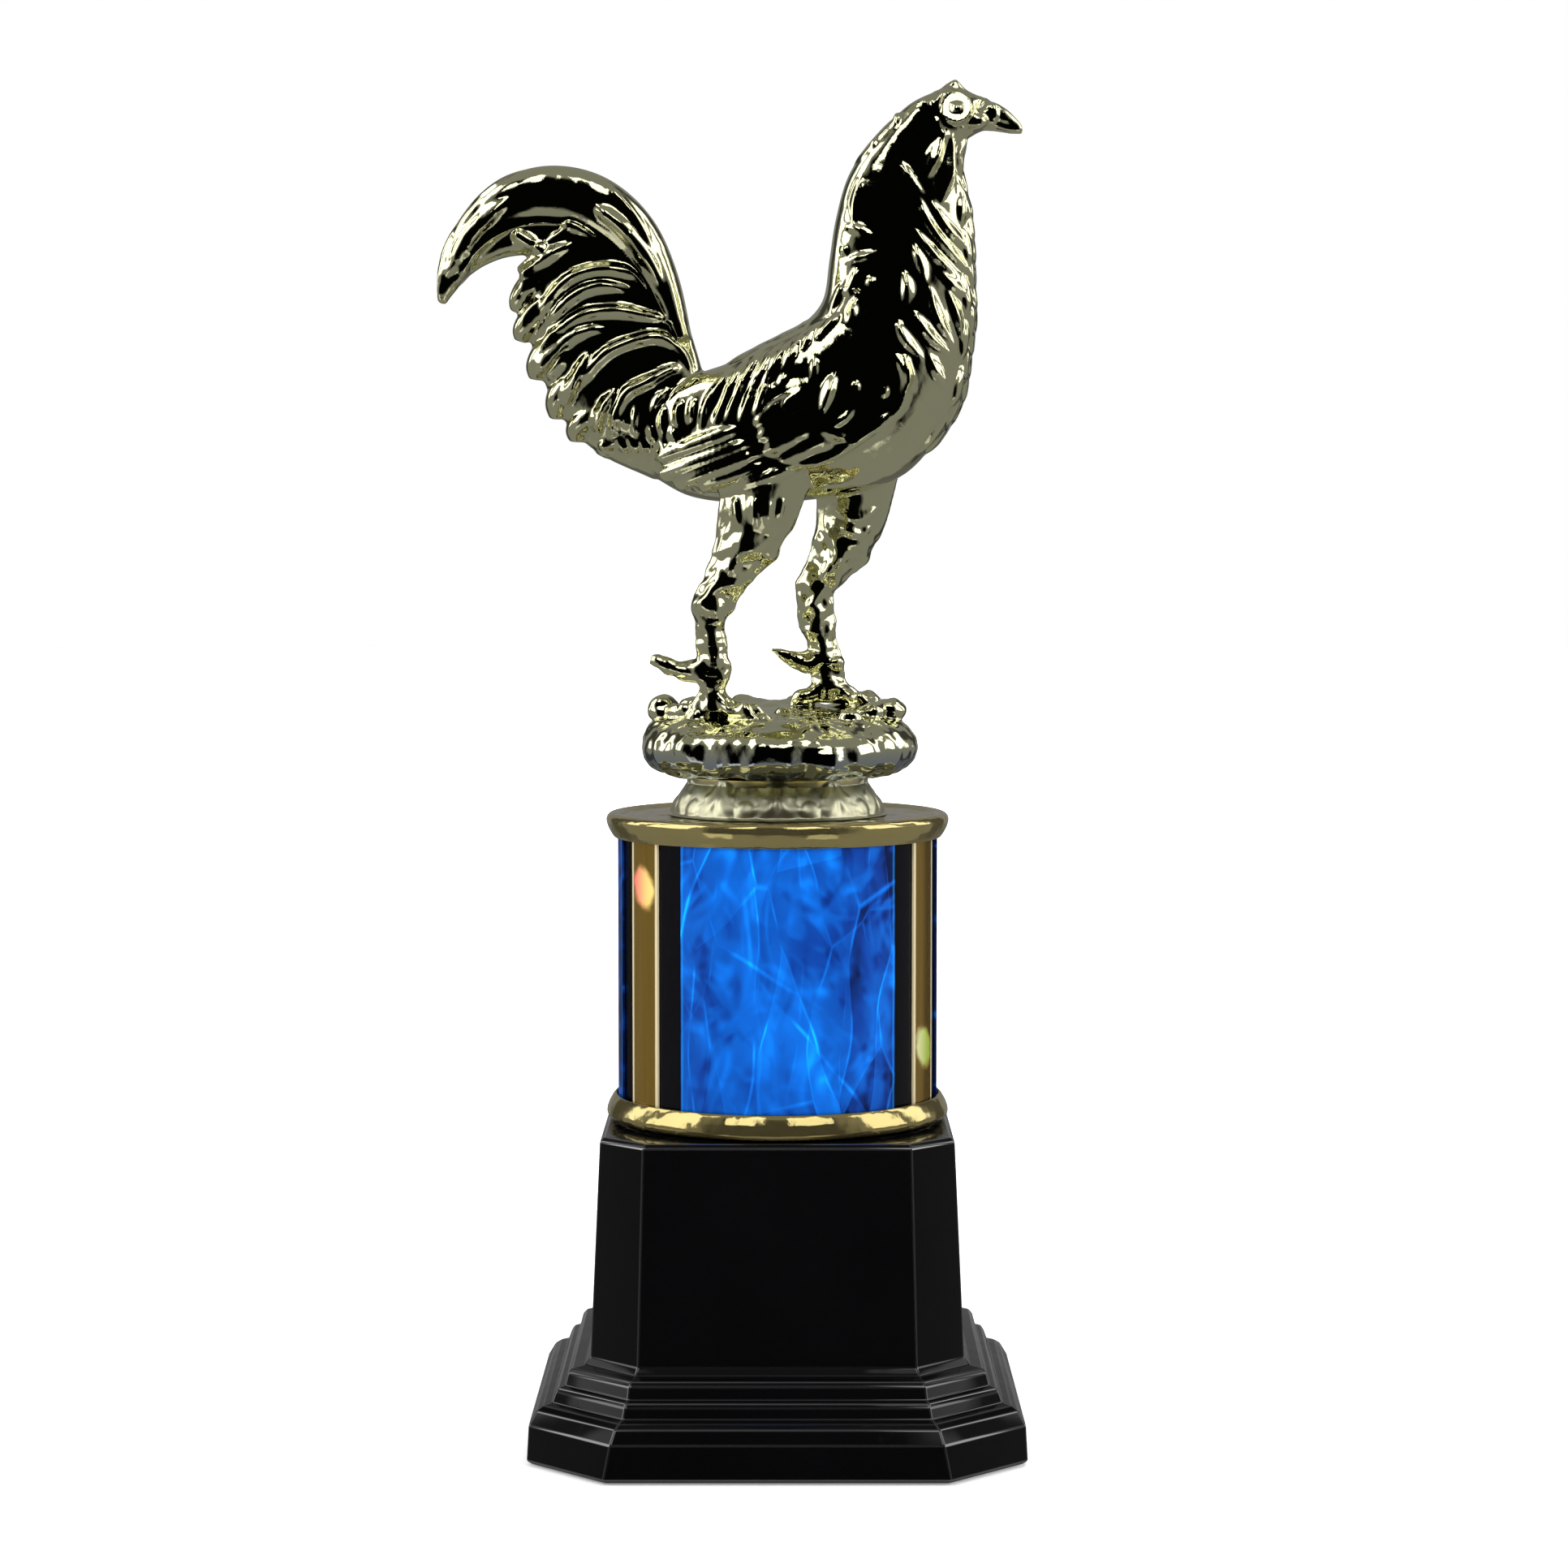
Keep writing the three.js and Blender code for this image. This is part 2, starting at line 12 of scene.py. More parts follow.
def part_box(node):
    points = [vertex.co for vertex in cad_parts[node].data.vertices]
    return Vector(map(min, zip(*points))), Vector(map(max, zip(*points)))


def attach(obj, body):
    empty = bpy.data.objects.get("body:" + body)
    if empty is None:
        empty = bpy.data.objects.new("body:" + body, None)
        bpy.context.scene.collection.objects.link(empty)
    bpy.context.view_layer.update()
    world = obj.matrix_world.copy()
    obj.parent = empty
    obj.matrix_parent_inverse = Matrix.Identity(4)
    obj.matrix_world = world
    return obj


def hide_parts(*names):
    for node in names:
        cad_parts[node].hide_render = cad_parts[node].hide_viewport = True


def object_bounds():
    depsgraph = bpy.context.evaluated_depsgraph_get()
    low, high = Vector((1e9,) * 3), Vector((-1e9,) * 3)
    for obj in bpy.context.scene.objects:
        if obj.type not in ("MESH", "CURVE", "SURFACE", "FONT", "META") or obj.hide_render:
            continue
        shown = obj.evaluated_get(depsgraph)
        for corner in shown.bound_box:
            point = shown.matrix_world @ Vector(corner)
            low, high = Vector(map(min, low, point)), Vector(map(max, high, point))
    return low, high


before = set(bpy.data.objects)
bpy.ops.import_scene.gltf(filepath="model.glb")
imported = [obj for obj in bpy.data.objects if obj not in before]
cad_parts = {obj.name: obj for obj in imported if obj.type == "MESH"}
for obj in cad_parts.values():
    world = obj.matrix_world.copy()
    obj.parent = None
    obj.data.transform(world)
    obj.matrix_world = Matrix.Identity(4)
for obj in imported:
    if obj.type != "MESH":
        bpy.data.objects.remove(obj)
cad_low, cad_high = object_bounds()

MM = 0.001  # the sculpting below is in millimetres, in the row frame
BODY = "root"


def add_object(name, data):
    thing = bpy.data.objects.new(name, data)
    bpy.context.scene.collection.objects.link(thing)
    return thing


# ---------------------------------------------------------------- camera
CAMERA_AT = (1.034 * MM, -0.600, 0.1445)
CAMERA_DOWN = 3.887  # degrees
CAMERA_LENS = 86.67


def make_camera():
    data = bpy.data.cameras.new("camera")
    data.sensor_width = 36
    data.lens = CAMERA_LENS
    data.clip_start = 0.01
    data.clip_end = 50
    camera = add_object("camera", data)
    camera.location = CAMERA_AT
    camera.rotation_euler = (math.radians(90 - CAMERA_DOWN), 0, 0)
    bpy.context.scene.camera = camera


# ---------------------------------------------------------------- node helpers
class Value:
    """An output of a node. Sums with it become math nodes, and [name] is another output of its node."""

    def __init__(self, nodes, socket):
        self.nodes = nodes
        self.socket = socket

    def __getitem__(self, name):
        return Value(self.nodes, self.socket.node.outputs[name])

    def __add__(self, other):
        return self.nodes.math("ADD", self, other)

    def __sub__(self, other):
        return self.nodes.math("SUBTRACT", self, other)

    def __rsub__(self, other):
        return self.nodes.math("SUBTRACT", other, self)

    def __mul__(self, other):
        return self.nodes.math("MULTIPLY", self, other)

    def __truediv__(self, other):
        return self.nodes.math("DIVIDE", self, other)


class Nodes:
    """Short calls for building a node tree."""

    def __init__(self, tree):
        self.tree = tree

    def set(self, node, sockets):
        """Gives a node's inputs their values, or links them to the outputs they follow."""
        for name, value in sockets.items():
            if isinstance(value, Value):
                self.tree.links.new(value.socket, node.inputs[name])
            else:
                node.inputs[name].default_value = value

    def make(self, kind, sockets=None, **settings):
        """Adds a node and gives back its first output."""
        node = self.tree.nodes.new("ShaderNode" + kind)
        for name, value in settings.items():
            setattr(node, name, value)
        self.set(node, sockets or {})
        return Value(self, node.outputs[0])

    def math(self, operation, *values):
        return self.make("Math", dict(enumerate(values)), operation=operation)

    def span(self, value, low, high, out_low=0.0, out_high=1.0, smooth=True):
        kind = "SMOOTHSTEP" if smooth else "LINEAR"
        sockets = {"Value": value, "From Min": low, "From Max": high, "To Min": out_low, "To Max": out_high}
        return self.make("MapRange", sockets, interpolation_type=kind)

    def mix(self, share, low, high):
        """A colour between two: each is an output or red, green and blue."""
        low, high = (end if isinstance(end, Value) else (*end, 1) for end in (low, high))
        return self.make("Mix", {0: share, 6: low, 7: high}, data_type="RGBA")[2]

    def axes(self, at):
        return self.make("SeparateXYZ", {"Vector": at})

    def shifted(self, at, by):
        return self.make("VectorMath", {0: at, 1: by}, operation="ADD")

    def scaled(self, at, by):
        return self.make("VectorMath", {0: at, "Scale": by}, operation="SCALE")

    def noise(self, at, scale, detail=2.0, rough=0.5):
        sockets = {"Vector": at, "Scale": scale, "Detail": detail, "Roughness": rough}
        return self.make("TexNoise", sockets)["Fac"]


class Surface(Nodes):
    """A new material, built on its Principled shader."""

    def __init__(self, name):
        self.material = bpy.data.materials.new(name)
        self.material.use_nodes = True
        super().__init__(self.material.node_tree)

    def place(self):
        """The object's own coordinates in millimetres."""
        return self.scaled(self.make("TexCoord")["Object"], 1 / MM)

    def finish(self, sockets, height=None, distance=0.0, strength=1.0):
        """Sets the shader's inputs, with a bump that follows a height if there is one."""
        if height is not None:
            bump = self.make("Bump", {"Height": height, "Distance": distance, "Strength": strength})
            sockets = {**sockets, "Normal": bump}
        self.set(self.tree.nodes["Principled BSDF"], sockets)
        return self.material


# ---------------------------------------------------------------- studio
# The studio's areas are ranges of azimuth (from the front towards +X) and elevation in degrees.
SOFTBOXES = [  # azimuths, elevations, how soft the edges are, strength
    (-98, -64, 6, 56, 2, 1.9), (66, 96, 6, 50, 2, 1.8), (-38, -17, 40, 66, 2, 2.0), (11, 42, 42, 68, 2, 1.9),
    (-58, -34, -44, -30, 3, 0.6), (24, 50, -46, -32, 3, 0.45), (108, 123, 5, 50, 3, 1.9),
    (-123, -108, 5, 50, 3, 1.9),
]
FRONT_OPENING = (-51, 51, 8), (-36, 56, 7)  # azimuths and softness, elevations and softness
REAR_SLOTS = (131, 151, 4), (-30, 48, 6)  # on both sides
REAR_SLOT_SHARE = 0.8
REAR_FLOOR = (44, 52, 0.5, 0), (-40, -9, 3)  # its azimuth is counted from the back
DIM_WALL = 0.24
DARK_FRONT = 0.001
AMBIENT = 0.2  # what diffuse surfaces receive from all around
LIGHTS = [("key", (-0.8, -1.45, 1.3), 24), ("fill", (0.95, -1.3, 1.0), 17), ("back", (0.3, 1.4, 1.3), 26)]
LIGHT_SIZE = 1.2
LIGHT_TARGET = Vector((0, 0, 0.1))
FLOOR_R = 4.0
FLOOR_WHITE = (0.93, 0.93, 0.93, 1)
FLOOR_GLOW = (0.05, 0.5, 0.3, 1.05)  # distances from the object in metres, and strengths there


def make_world():
    """Dark front and back openings with bright boxes beside, above and below them, and dim walls between."""
    world = bpy.data.worlds.new("studio")
    bpy.context.scene.world = world
    world.use_nodes = True
    world.node_tree.nodes.clear()
    n = Nodes(world.node_tree)
    axes = n.axes(n.make("TexCoord")["Generated"])
    azimuth = n.math("ARCTAN2", axes[0], axes[1] * -1) * (180 / math.pi)
    elevation = n.math("ARCSINE", axes[2]) * (180 / math.pi)
    side = n.math("ABSOLUTE", azimuth)

    def window(value, low, high, soft):
        return n.span(value, low - soft, low + soft) * n.span(value, high - soft, high + soft, 1, 0)

    def area(across, azimuths, elevations):
        return window(across, *azimuths) * window(elevation, *elevations)

    def white(strength):
        return n.make("Background", {"Color": (1, 1, 1, 1), "Strength": strength})

    back = n.span(180.0 - side, *REAR_FLOOR[0]) * window(elevation, *REAR_FLOOR[1])
    dark = n.math("MAXIMUM", area(azimuth, *FRONT_OPENING), back)
    dark = n.math("MAXIMUM", dark, area(side, *REAR_SLOTS) * REAR_SLOT_SHARE)
    total = n.span(dark, 0, 1, DIM_WALL, DARK_FRONT, smooth=False)
    for az_low, az_high, el_low, el_high, soft, strength in SOFTBOXES:
        total += area(azimuth, (az_low, az_high, soft), (el_low, el_high, soft)) * strength
    path = n.make("LightPath")
    lit = n.make("MixShader", {0: path["Is Diffuse Ray"], 1: white(total), 2: white(AMBIENT)})
    seen = n.make("MixShader", {0: path["Is Camera Ray"], 1: lit, 2: white(1.0)})
    n.set(n.tree.nodes.new("ShaderNodeOutputWorld"), {"Surface": seen})


def make_floor():
    mesh = bpy.data.meshes.new("floor")
    ring = [(FLOOR_R * math.cos(a), FLOOR_R * math.sin(a), 0) for a in round_angles(96)]
    mesh.from_pydata(ring, [], [list(range(len(ring)))])
    floor = add_object("floor", mesh)
    floor.location.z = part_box("base_pad")[0].z
    floor.visible_glossy = False
    n = Surface("floor")
    away = n.make("VectorMath", {0: n.make("TexCoord")["Object"]}, operation="LENGTH")["Value"]
    mesh.materials.append(n.finish({
        "Base Color": FLOOR_WHITE, "Roughness": 0.9, "Specular IOR Level": 0.1,
        "Emission Color": (1, 1, 1, 1), "Emission Strength": n.span(away, *FLOOR_GLOW),
    }))


def make_lights():
    for name, at, power in LIGHTS:
        data = bpy.data.lights.new(name, "AREA")
        data.shape = "DISK"
        data.size = LIGHT_SIZE
        data.energy = power
        light = add_object(name, data)
        light.location = at
        light.rotation_euler = (LIGHT_TARGET - Vector(at)).to_track_quat("-Z", "Y").to_euler()
        light.visible_glossy = False


# ---------------------------------------------------------------- meshes
def add_piece(name, mesh, node, material):
    """A smooth piece that rides on the body and stands for a CAD node."""
    piece = add_object(name, mesh)
    mesh.shade_smooth()
    mesh.materials.append(material)
    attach(piece, BODY)
    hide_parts(node)
    return piece


def ring_piece(name, rings, closed, node, material, sharp):
    """A piece skinned over rings of points in millimetres. Edges that turn by more than sharp stay crisp."""
    rings = np.asarray(rings, float)
    count, sides, _ = rings.shape
    mesh = bpy.data.meshes.new(name)
    mesh.from_pydata((rings.reshape(-1, 3) * MM).tolist(), [], grid_faces(count, sides, closed))
    mesh.validate()
    piece = add_piece(name, mesh, node, material)
    mesh.set_sharp_from_angle(angle=math.radians(sharp))
    return piece


def grid_faces(rings, sides, closed=False):
    """Faces between neighbouring rings of points. The last ring meets the first one, or both are capped."""
    faces = []
    for ring in range(rings if closed else rings - 1):
        a, b = ring * sides, (ring + 1) % rings * sides
        for i in range(sides):
            j = (i + 1) % sides
            faces.append((a + i, a + j, b + j, b + i))
    if not closed:
        last = (rings - 1) * sides
        faces += [tuple(reversed(range(sides))), tuple(range(last, last + sides))]
    return faces


def curve_through(points, per_span):
    """A smooth curve through points of any dimension, with per_span steps between each two."""
    p = np.asarray(points, float)
    p = np.vstack([2 * p[0] - p[1], p, 2 * p[-1] - p[-2]])
    out = []
    for i in range(1, len(p) - 2):
        a, b, c, d = p[i - 1 : i + 3]
        for t in np.arange(per_span) / per_span:
            cubic = (3 * b - a - 3 * c + d) * t**3 + (2 * a - 5 * b + 4 * c - d) * t**2
            out.append(0.5 * (2 * b + (c - a) * t + cubic))
    out.append(p[-2])
    return np.array(out)


def round_angles(sides):
    return np.linspace(0, 2 * math.pi, sides, endpoint=False)


def superellipse(sides, power):
    """Points round a unit shape. A pair of powers is for its half with c > 0 and its other half."""
    c, s = np.cos(round_angles(sides)), np.sin(round_angles(sides))
    power = np.where(c > 0, *power) if isinstance(power, tuple) else power
    return np.sign(c) * np.abs(c) ** (2 / power), np.sign(s) * np.abs(s) ** (2 / power)


def unit(vectors):
    return vectors / np.linalg.norm(vectors, axis=1)[:, None]


class Clay:
    """Overlapping closed shapes in millimetres, later fused into one skin."""

    def __init__(self):
        self.points = []
        self.faces = []

    def rings(self, rings):
        rings = np.asarray(rings, float)
        count, sides, _ = rings.shape
        base = len(self.points)
        self.points.extend(rings.reshape(-1, 3))
        self.faces += [[base + v for v in face] for face in grid_faces(count, sides)]

    def loft(self, sections, y=0.0, power=2.0, per_span=6, sides=40):
        """Sections as rows of back x, back z, front x, front z and half thickness along Y.

        A sixth value sets a section off the middle plane. power may be a pair, for the half towards the back
        point and the half towards the front point.
        """
        c, s = superellipse(sides, power)
        rings = []
        for bx, bz, fx, fz, half, *out in curve_through(sections, per_span):
            x = (bx + fx) / 2 + (bx - fx) / 2 * c
            z = (bz + fz) / 2 + (bz - fz) / 2 * c
            rings.append(np.stack([x, y + sum(out) + half * s, z], axis=1))
        self.rings(rings)

    def blade(self, spine, per_span=8, sides=32):
        """A curved blade along a spine in the XZ plane: rows of x, z, half width, half thickness."""
        rows = curve_through(spine, per_span)
        along = unit(np.gradient(rows[:, :2], axis=0))
        c, s = superellipse(sides, 2.2)
        rings = []
        for (x, z, width, thick), (tx, tz) in zip(rows, along):
            rings.append(np.stack([x - tz * width * c, thick * s, z + tx * width * c], axis=1))
        self.rings(rings)

    def finger(self, rows, per_span=6, sides=16):
        """A round tapering limb: rows of x, y, z, radius."""
        rows = curve_through(rows, per_span)
        along = unit(np.gradient(rows[:, :3], axis=0))
        side = unit(np.cross(along, (0, 0, 1.0)))
        lift = np.cross(side, along)
        c, s = superellipse(sides, 2)
        limb = zip(rows[:, :3], rows[:, 3], side, lift)
        self.rings([at + radius * (np.outer(c, u) + np.outer(s, v)) for at, radius, u, v in limb])

    def ball(self, centre, radii, sides=24):
        tilt = np.linspace(0.02, math.pi - 0.02, sides // 2)
        c, s = superellipse(sides, 2)
        rings = [np.stack([np.sin(t) * c, np.sin(t) * s, np.full(sides, -np.cos(t))], axis=1) for t in tilt]
        self.rings(np.asarray(rings) * np.asarray(radii) + np.asarray(centre))


def fused(clay, voxel):
    """One closed skin round all the clay: its vertices and faces as arrays, in millimetres."""
    mesh = bpy.data.meshes.new("clay")
    mesh.from_pydata([tuple(p) for p in clay.points], [], clay.faces)
    lump = add_object("clay", mesh)
    remesh = lump.modifiers.new("fuse", "REMESH")
    remesh.mode = "VOXEL"
    remesh.voxel_size = voxel
    remesh.adaptivity = 0
    skin = bpy.data.meshes.new_from_object(lump.evaluated_get(bpy.context.evaluated_depsgraph_get()))
    bpy.data.objects.remove(lump)
    points = np.empty(len(skin.vertices) * 3)
    skin.vertices.foreach_get("co", points)
    corners = np.empty(len(skin.loops), int)
    skin.loops.foreach_get("vertex_index", corners)
    bpy.data.meshes.remove(skin)
    bpy.data.meshes.remove(mesh)
    return points.reshape(-1, 3), corners.reshape(-1, 4)


def normals_of(points, faces):
    a, b, c, d = (points[faces[:, i]] for i in range(4))
    flat = np.cross(c - a, d - b)
    total = np.zeros_like(points)
    for i in range(4):
        np.add.at(total, faces[:, i], flat)
    return total / np.maximum(np.linalg.norm(total, axis=1), 1e-12)[:, None]


def neighbours(faces, size):
    """How many neighbours each point has, and a function that adds up the values at them."""
    edges = np.vstack([faces[:, [i, (i + 1) % 4]] for i in range(4)])
    edges = np.vstack([edges, edges[:, ::-1]])

    def added(values):
        return np.stack([np.bincount(edges[:, 0], column[edges[:, 1]], size) for column in values.T], axis=1)

    return np.bincount(edges[:, 0], minlength=size)[:, None], added


def averaged(values, faces, rounds):
    """Values at points, each averaged with its neighbours."""
    count, added = neighbours(faces, len(values))
    for _ in range(rounds):
        values = (added(values) + values) / (count + 1)
    return values


SMOOTHING = 0.5
SMOOTHING_BACK = -0.98  # as a share of it


def smoothed(points, faces, rounds):
    """Each point moved towards the middle of its neighbours, and nearly as far back so that nothing shrinks."""
    count, added = neighbours(faces, len(points))
    for share in (SMOOTHING, SMOOTHING * SMOOTHING_BACK) * rounds:
        points = points + share * (added(points) / count - points)
    return points


# ---------------------------------------------------------------- relief on a skin
VIEWS = {
    "right": lambda u, v: ((u, -60, v), (0, 1, 0)),  # u, v are x, z on the figure's right side
    "left": lambda u, v: ((u, 60, v), (0, -1, 0)),
    "front": lambda u, v: ((80, u, v), (-1, 0, 0)),  # u, v are y, z from the figure's front
    "back": lambda u, v: ((-80, u, v), (1, 0, 0)),
    "top": lambda u, v: ((u, v, 240), (0, 0, -1)),  # u, v are x, y from above
}
STROKE_STEP = 0.7
STROKE_JUMP = 4.5  # where the skin drops away by more than this, a stroke leaves the point out


class Skin:
    """A closed skin that takes relief: strokes laid on its surface push it out or in."""

    def __init__(self, points, faces):
        self.points = points
        self.faces = faces
        self.normals = normals_of(points, faces)
        self.tree = BVHTree.FromPolygons(points.tolist(), faces.tolist())
        self.layers = {kind: np.zeros(len(points)) for kind in ("band", "ridge", "groove")}

    def lay(self, view, path):
        """The path's points on the skin, seen from one side."""
        path = np.asarray(path, float)
        length = np.linalg.norm(np.diff(path, axis=0), axis=1).sum()
        fine = curve_through(path, max(2, int(length / STROKE_STEP / max(1, len(path) - 1)) + 1))
        hits = []
        for u, v in fine:
            start, way = VIEWS[view](u, v)
            at = self.tree.ray_cast(Vector(start), Vector(way))[0]
            if at is not None and (not hits or (Vector(hits[-1]) - at).length < STROKE_JUMP):
                hits.append(tuple(at))
        return np.array(hits)

    def stroke(self, kind, view, path, width, height, tip=0.35, root=0.12):
        """A raised band, a wedge, a narrow ridge or a groove along a path.

        A wedge is a flat slope across the path: wedge_back looks up and towards the tail, wedge_ahead
        up and towards the head. tip and root are the shares of the path over which the stroke tapers.
        """
        line = self.lay(view, path)
        if len(line) < 2:
            return
        low, high = line.min(axis=0) - width, line.max(axis=0) + width
        near = np.nonzero(np.all((self.points > low) & (self.points < high), axis=1))[0]
        if not len(near):
            return
        starts, steps = line[:-1], np.diff(line, axis=0)
        lengths = np.linalg.norm(steps, axis=1)
        along = np.concatenate([[0], np.cumsum(lengths)]) / max(lengths.sum(), 1e-9)
        best = np.full(len(near), 1e9)
        place = np.zeros(len(near))
        offset = np.zeros((len(near), 3))
        for start, step, length, a, b in zip(starts, steps, lengths, along[:-1], along[1:]):
            if length < 1e-9:
                continue
            share = np.clip((self.points[near] - start) @ step / length**2, 0, 1)
            reach = self.points[near] - start - share[:, None] * step
            gap = np.linalg.norm(reach, axis=1)
            closer = gap < best
            best[closer] = gap[closer]
            offset[closer] = reach[closer]
            place[closer] = (a + (b - a) * share)[closer]
        taper = np.minimum(np.clip((place + 0.02) / root, 0, 1), np.clip((1.02 - place) / tip, 0, 1)) ** 0.6
        inside = np.clip(1 - (best / (width * np.maximum(taper, 0.05))) ** 2, 0, 1)
        layer = self.layers.get(kind, self.layers["band"])
        if kind == "band":
            rise = height * np.sqrt(inside) * (0.6 + 0.4 * place) * np.minimum(taper + 0.2, 1)
        elif kind == "ridge":
            rise = height * inside**1.4 * taper
        elif kind == "groove":
            rise = height * inside * taper
        else:
            downhill = (1, 0, -0.4) if kind == "wedge_back" else (-1, 0, -0.4)
            share = 0.5 + 0.5 * np.clip(offset @ downhill / (width * np.maximum(taper, 0.3)), -1, 1)
            rise = height * share * np.clip(inside * 3, 0, 1) * taper
        layer[near] = np.maximum(layer[near], rise)

    def press(self, extra):
        rise = self.layers["band"] + self.layers["ridge"] - self.layers["groove"] + extra
        rise = averaged(rise[:, None], self.faces, 2)
        self.points = self.points + unit(averaged(self.normals, self.faces, 4)) * rise


def half_of(name, skin, side, gap):
    """The part of a skin on one side of the middle plane, closed along the plane."""
    mesh = bpy.data.meshes.new(name)
    mesh.from_pydata(skin.points.tolist(), [], skin.faces.tolist())
    bm = bmesh.new()
    bm.from_mesh(mesh)
    geometry = bm.verts[:] + bm.edges[:] + bm.faces[:]
    bmesh.ops.bisect_plane(
        bm, geom=geometry, plane_co=(0, side * gap, 0), plane_no=(0, side, 0), clear_inner=True, dist=1e-5
    )
    rim = [edge for edge in bm.edges if edge.is_boundary]
    bmesh.ops.triangle_fill(bm, edges=rim, use_beauty=False, use_dissolve=False)
    bm.to_mesh(mesh)
    bm.free()
    mesh.transform(Matrix.Scale(MM, 4))
    return mesh


# ---------------------------------------------------------------- rooster
# Sections in the XZ plane: back x and z, front x and z, half thickness along Y.
TRUNK = [
    (25.5, 213.2, 29.9, 205.4, 3.4), (20.5, 210.7, 28.8, 202, 4.3), (15, 205.2, 29.3, 197.8, 5.5),
    (11.2, 199.8, 30.3, 193.6, 6.7), (9.2, 193, 30.7, 188.6, 7.8), (8.2, 186.6, 30.8, 183, 8.8),
    (7.2, 180.4, 31.0, 177.6, 9.8), (4.2, 176.7, 30.2, 171, 11), (0, 174.4, 29.0, 164.4, 12),
    (-4, 172.4, 25, 158, 12.6), (-8, 170.3, 19.3, 152.4, 12.3), (-10.6, 169.4, 9.5, 149.5, 11.6),
    (-13, 168.6, -2, 148.4, 10.2), (-15.6, 167.4, -13, 149.2, 8.6), (-18, 166.2, -20.2, 152.8, 6.6),
]
TAIL = [
    (-11.6, 168.2, -19.4, 152.0, 6.8), (-12.6, 171.8, -28.6, 156.4, 6.3), (-14.4, 177.6, -34.6, 162.6, 5.5),
    (-16.4, 183.2, -37.4, 169, 5.0), (-19.4, 188.6, -39.4, 175.6, 4.5), (-23.4, 192.6, -39.8, 181.4, 4.0),
    (-28.6, 195.4, -41.2, 185.4, 3.4),
]
# Tail feathers as blades along a spine: x, z, half width, half thickness.
SICKLE_TOP = [
    (-15.0, 174, 1.6, 4.4), (-18.4, 183, 3.0, 4.6), (-22.8, 190.2, 4.2, 4.5), (-28.6, 194.9, 4.8, 4.3),
    (-35, 196.6, 4.8, 4.0), (-41, 195.6, 4.4, 3.5), (-46, 192.2, 3.7, 3.0), (-49.8, 187.6, 2.9, 2.4),
    (-52.2, 182.6, 1.7, 1.7), (-53.0, 179.8, 0.6, 0.9),
]
TAIL_FEATHERS = [
    [
        (-26, 187.5, 2.4, 3.0), (-32, 189.6, 2.6, 3.0), (-38, 190.0, 2.6, 2.8), (-43, 189.2, 2.2, 2.4),
        (-47, 187.2, 1.7, 1.9), (-50, 184.3, 1.0, 1.2), (-51.2, 182.6, 0.5, 0.7),
    ],
    [
        (-28, 184.6, 1.6, 2.8), (-34, 185.2, 2.2, 3.4), (-38.4, 183.2, 2.1, 3.2), (-40.6, 180.4, 1.8, 2.4),
        (-41.2, 178.4, 1.0, 1.2),
    ],
    [
        (-28, 180, 1.6, 3.0), (-34, 180.2, 2.2, 3.8), (-38, 178, 2.2, 3.6), (-40.0, 175.6, 1.9, 2.8),
        (-40.6, 173.8, 1.0, 1.4),
    ],
    [
        (-26, 174, 1.6, 3.4), (-32, 174.4, 2.2, 4.2), (-36, 172.4, 2.3, 4.0), (-37.8, 170.0, 2.0, 3.2),
        (-38.2, 167.8, 1.1, 1.6),
    ],
    [
        (-24, 168, 1.6, 3.6), (-29.6, 168.6, 2.2, 4.6), (-33.4, 166.4, 2.3, 4.2), (-34.8, 164.0, 2.0, 3.4),
        (-34.9, 161.6, 1.1, 1.8),
    ],
    [
        (-21, 163, 1.6, 4.0), (-26.4, 163.4, 2.2, 5.0), (-30, 161.6, 2.3, 4.6), (-31.6, 159.8, 2.0, 3.6),
        (-31.8, 158.0, 1.1, 2.0),
    ],
    [
        (-18, 158.6, 1.6, 4.4), (-22.6, 158.8, 2.1, 5.2), (-25.8, 158, 2.0, 4.6), (-27.4, 156.8, 1.6, 3.6),
        (-28, 155.8, 0.9, 2.0),
    ],
]
HEAD = [
    (24.6, 213, 27.6, 204.8, 3.3), (26.8, 213.5, 30.0, 205.6, 3.7), (29.4, 212.7, 31.4, 206.4, 3.2),
    (31.8, 211.8, 32.8, 206.9, 2.2), (33.6, 210.9, 34.0, 206.9, 1.6),
]
BEAK = [
    (32.2, 211.6, 32.8, 206.8, 2.1), (34.3, 211.2, 34.4, 206.7, 1.7), (36.3, 210.0, 36.3, 206.4, 1.25),
    (38.1, 208.2, 38.0, 206.3, 0.7), (38.66, 207.2, 38.64, 206.4, 0.25),
]
COMB = [
    (25.8, 213.6, 26.1, 211.5, 0.7), (27.3, 214.6, 27.3, 211.5, 0.9), (28.2, 214.8, 28.2, 211.2, 0.9),
    (29.5, 213.4, 29.3, 211, 0.95), (31.2, 212.5, 31.0, 210.5, 0.8), (33.2, 211.9, 33.0, 210.2, 0.5),
]
# The wing's sections end with how far each stands off the middle plane.
WING = [
    (19, 168.2, 20.4, 162.4, 1.2, 9.2), (10.6, 170.4, 16.2, 158.2, 2.8, 9.8),
    (2.2, 168.8, 8, 155.0, 3.3, 10.2), (-6, 166.0, -3, 152.4, 2.8, 9.4), (-13, 161.8, -12, 151.0, 1.9, 7.6),
    (-18.3, 156.8, -17.6, 152.0, 0.9, 5.4),
]
EYE = (28.0, 210.1)
EYE_SIDE = 2.2  # how far the bulges round the eye and the cheek stand off the middle plane
EYE_BULGE = (2.7, 2.3, 2.6)
CHEEK = (30.8, 208.0)
CHEEK_BULGE = (2.2, 1.3, 1.3)

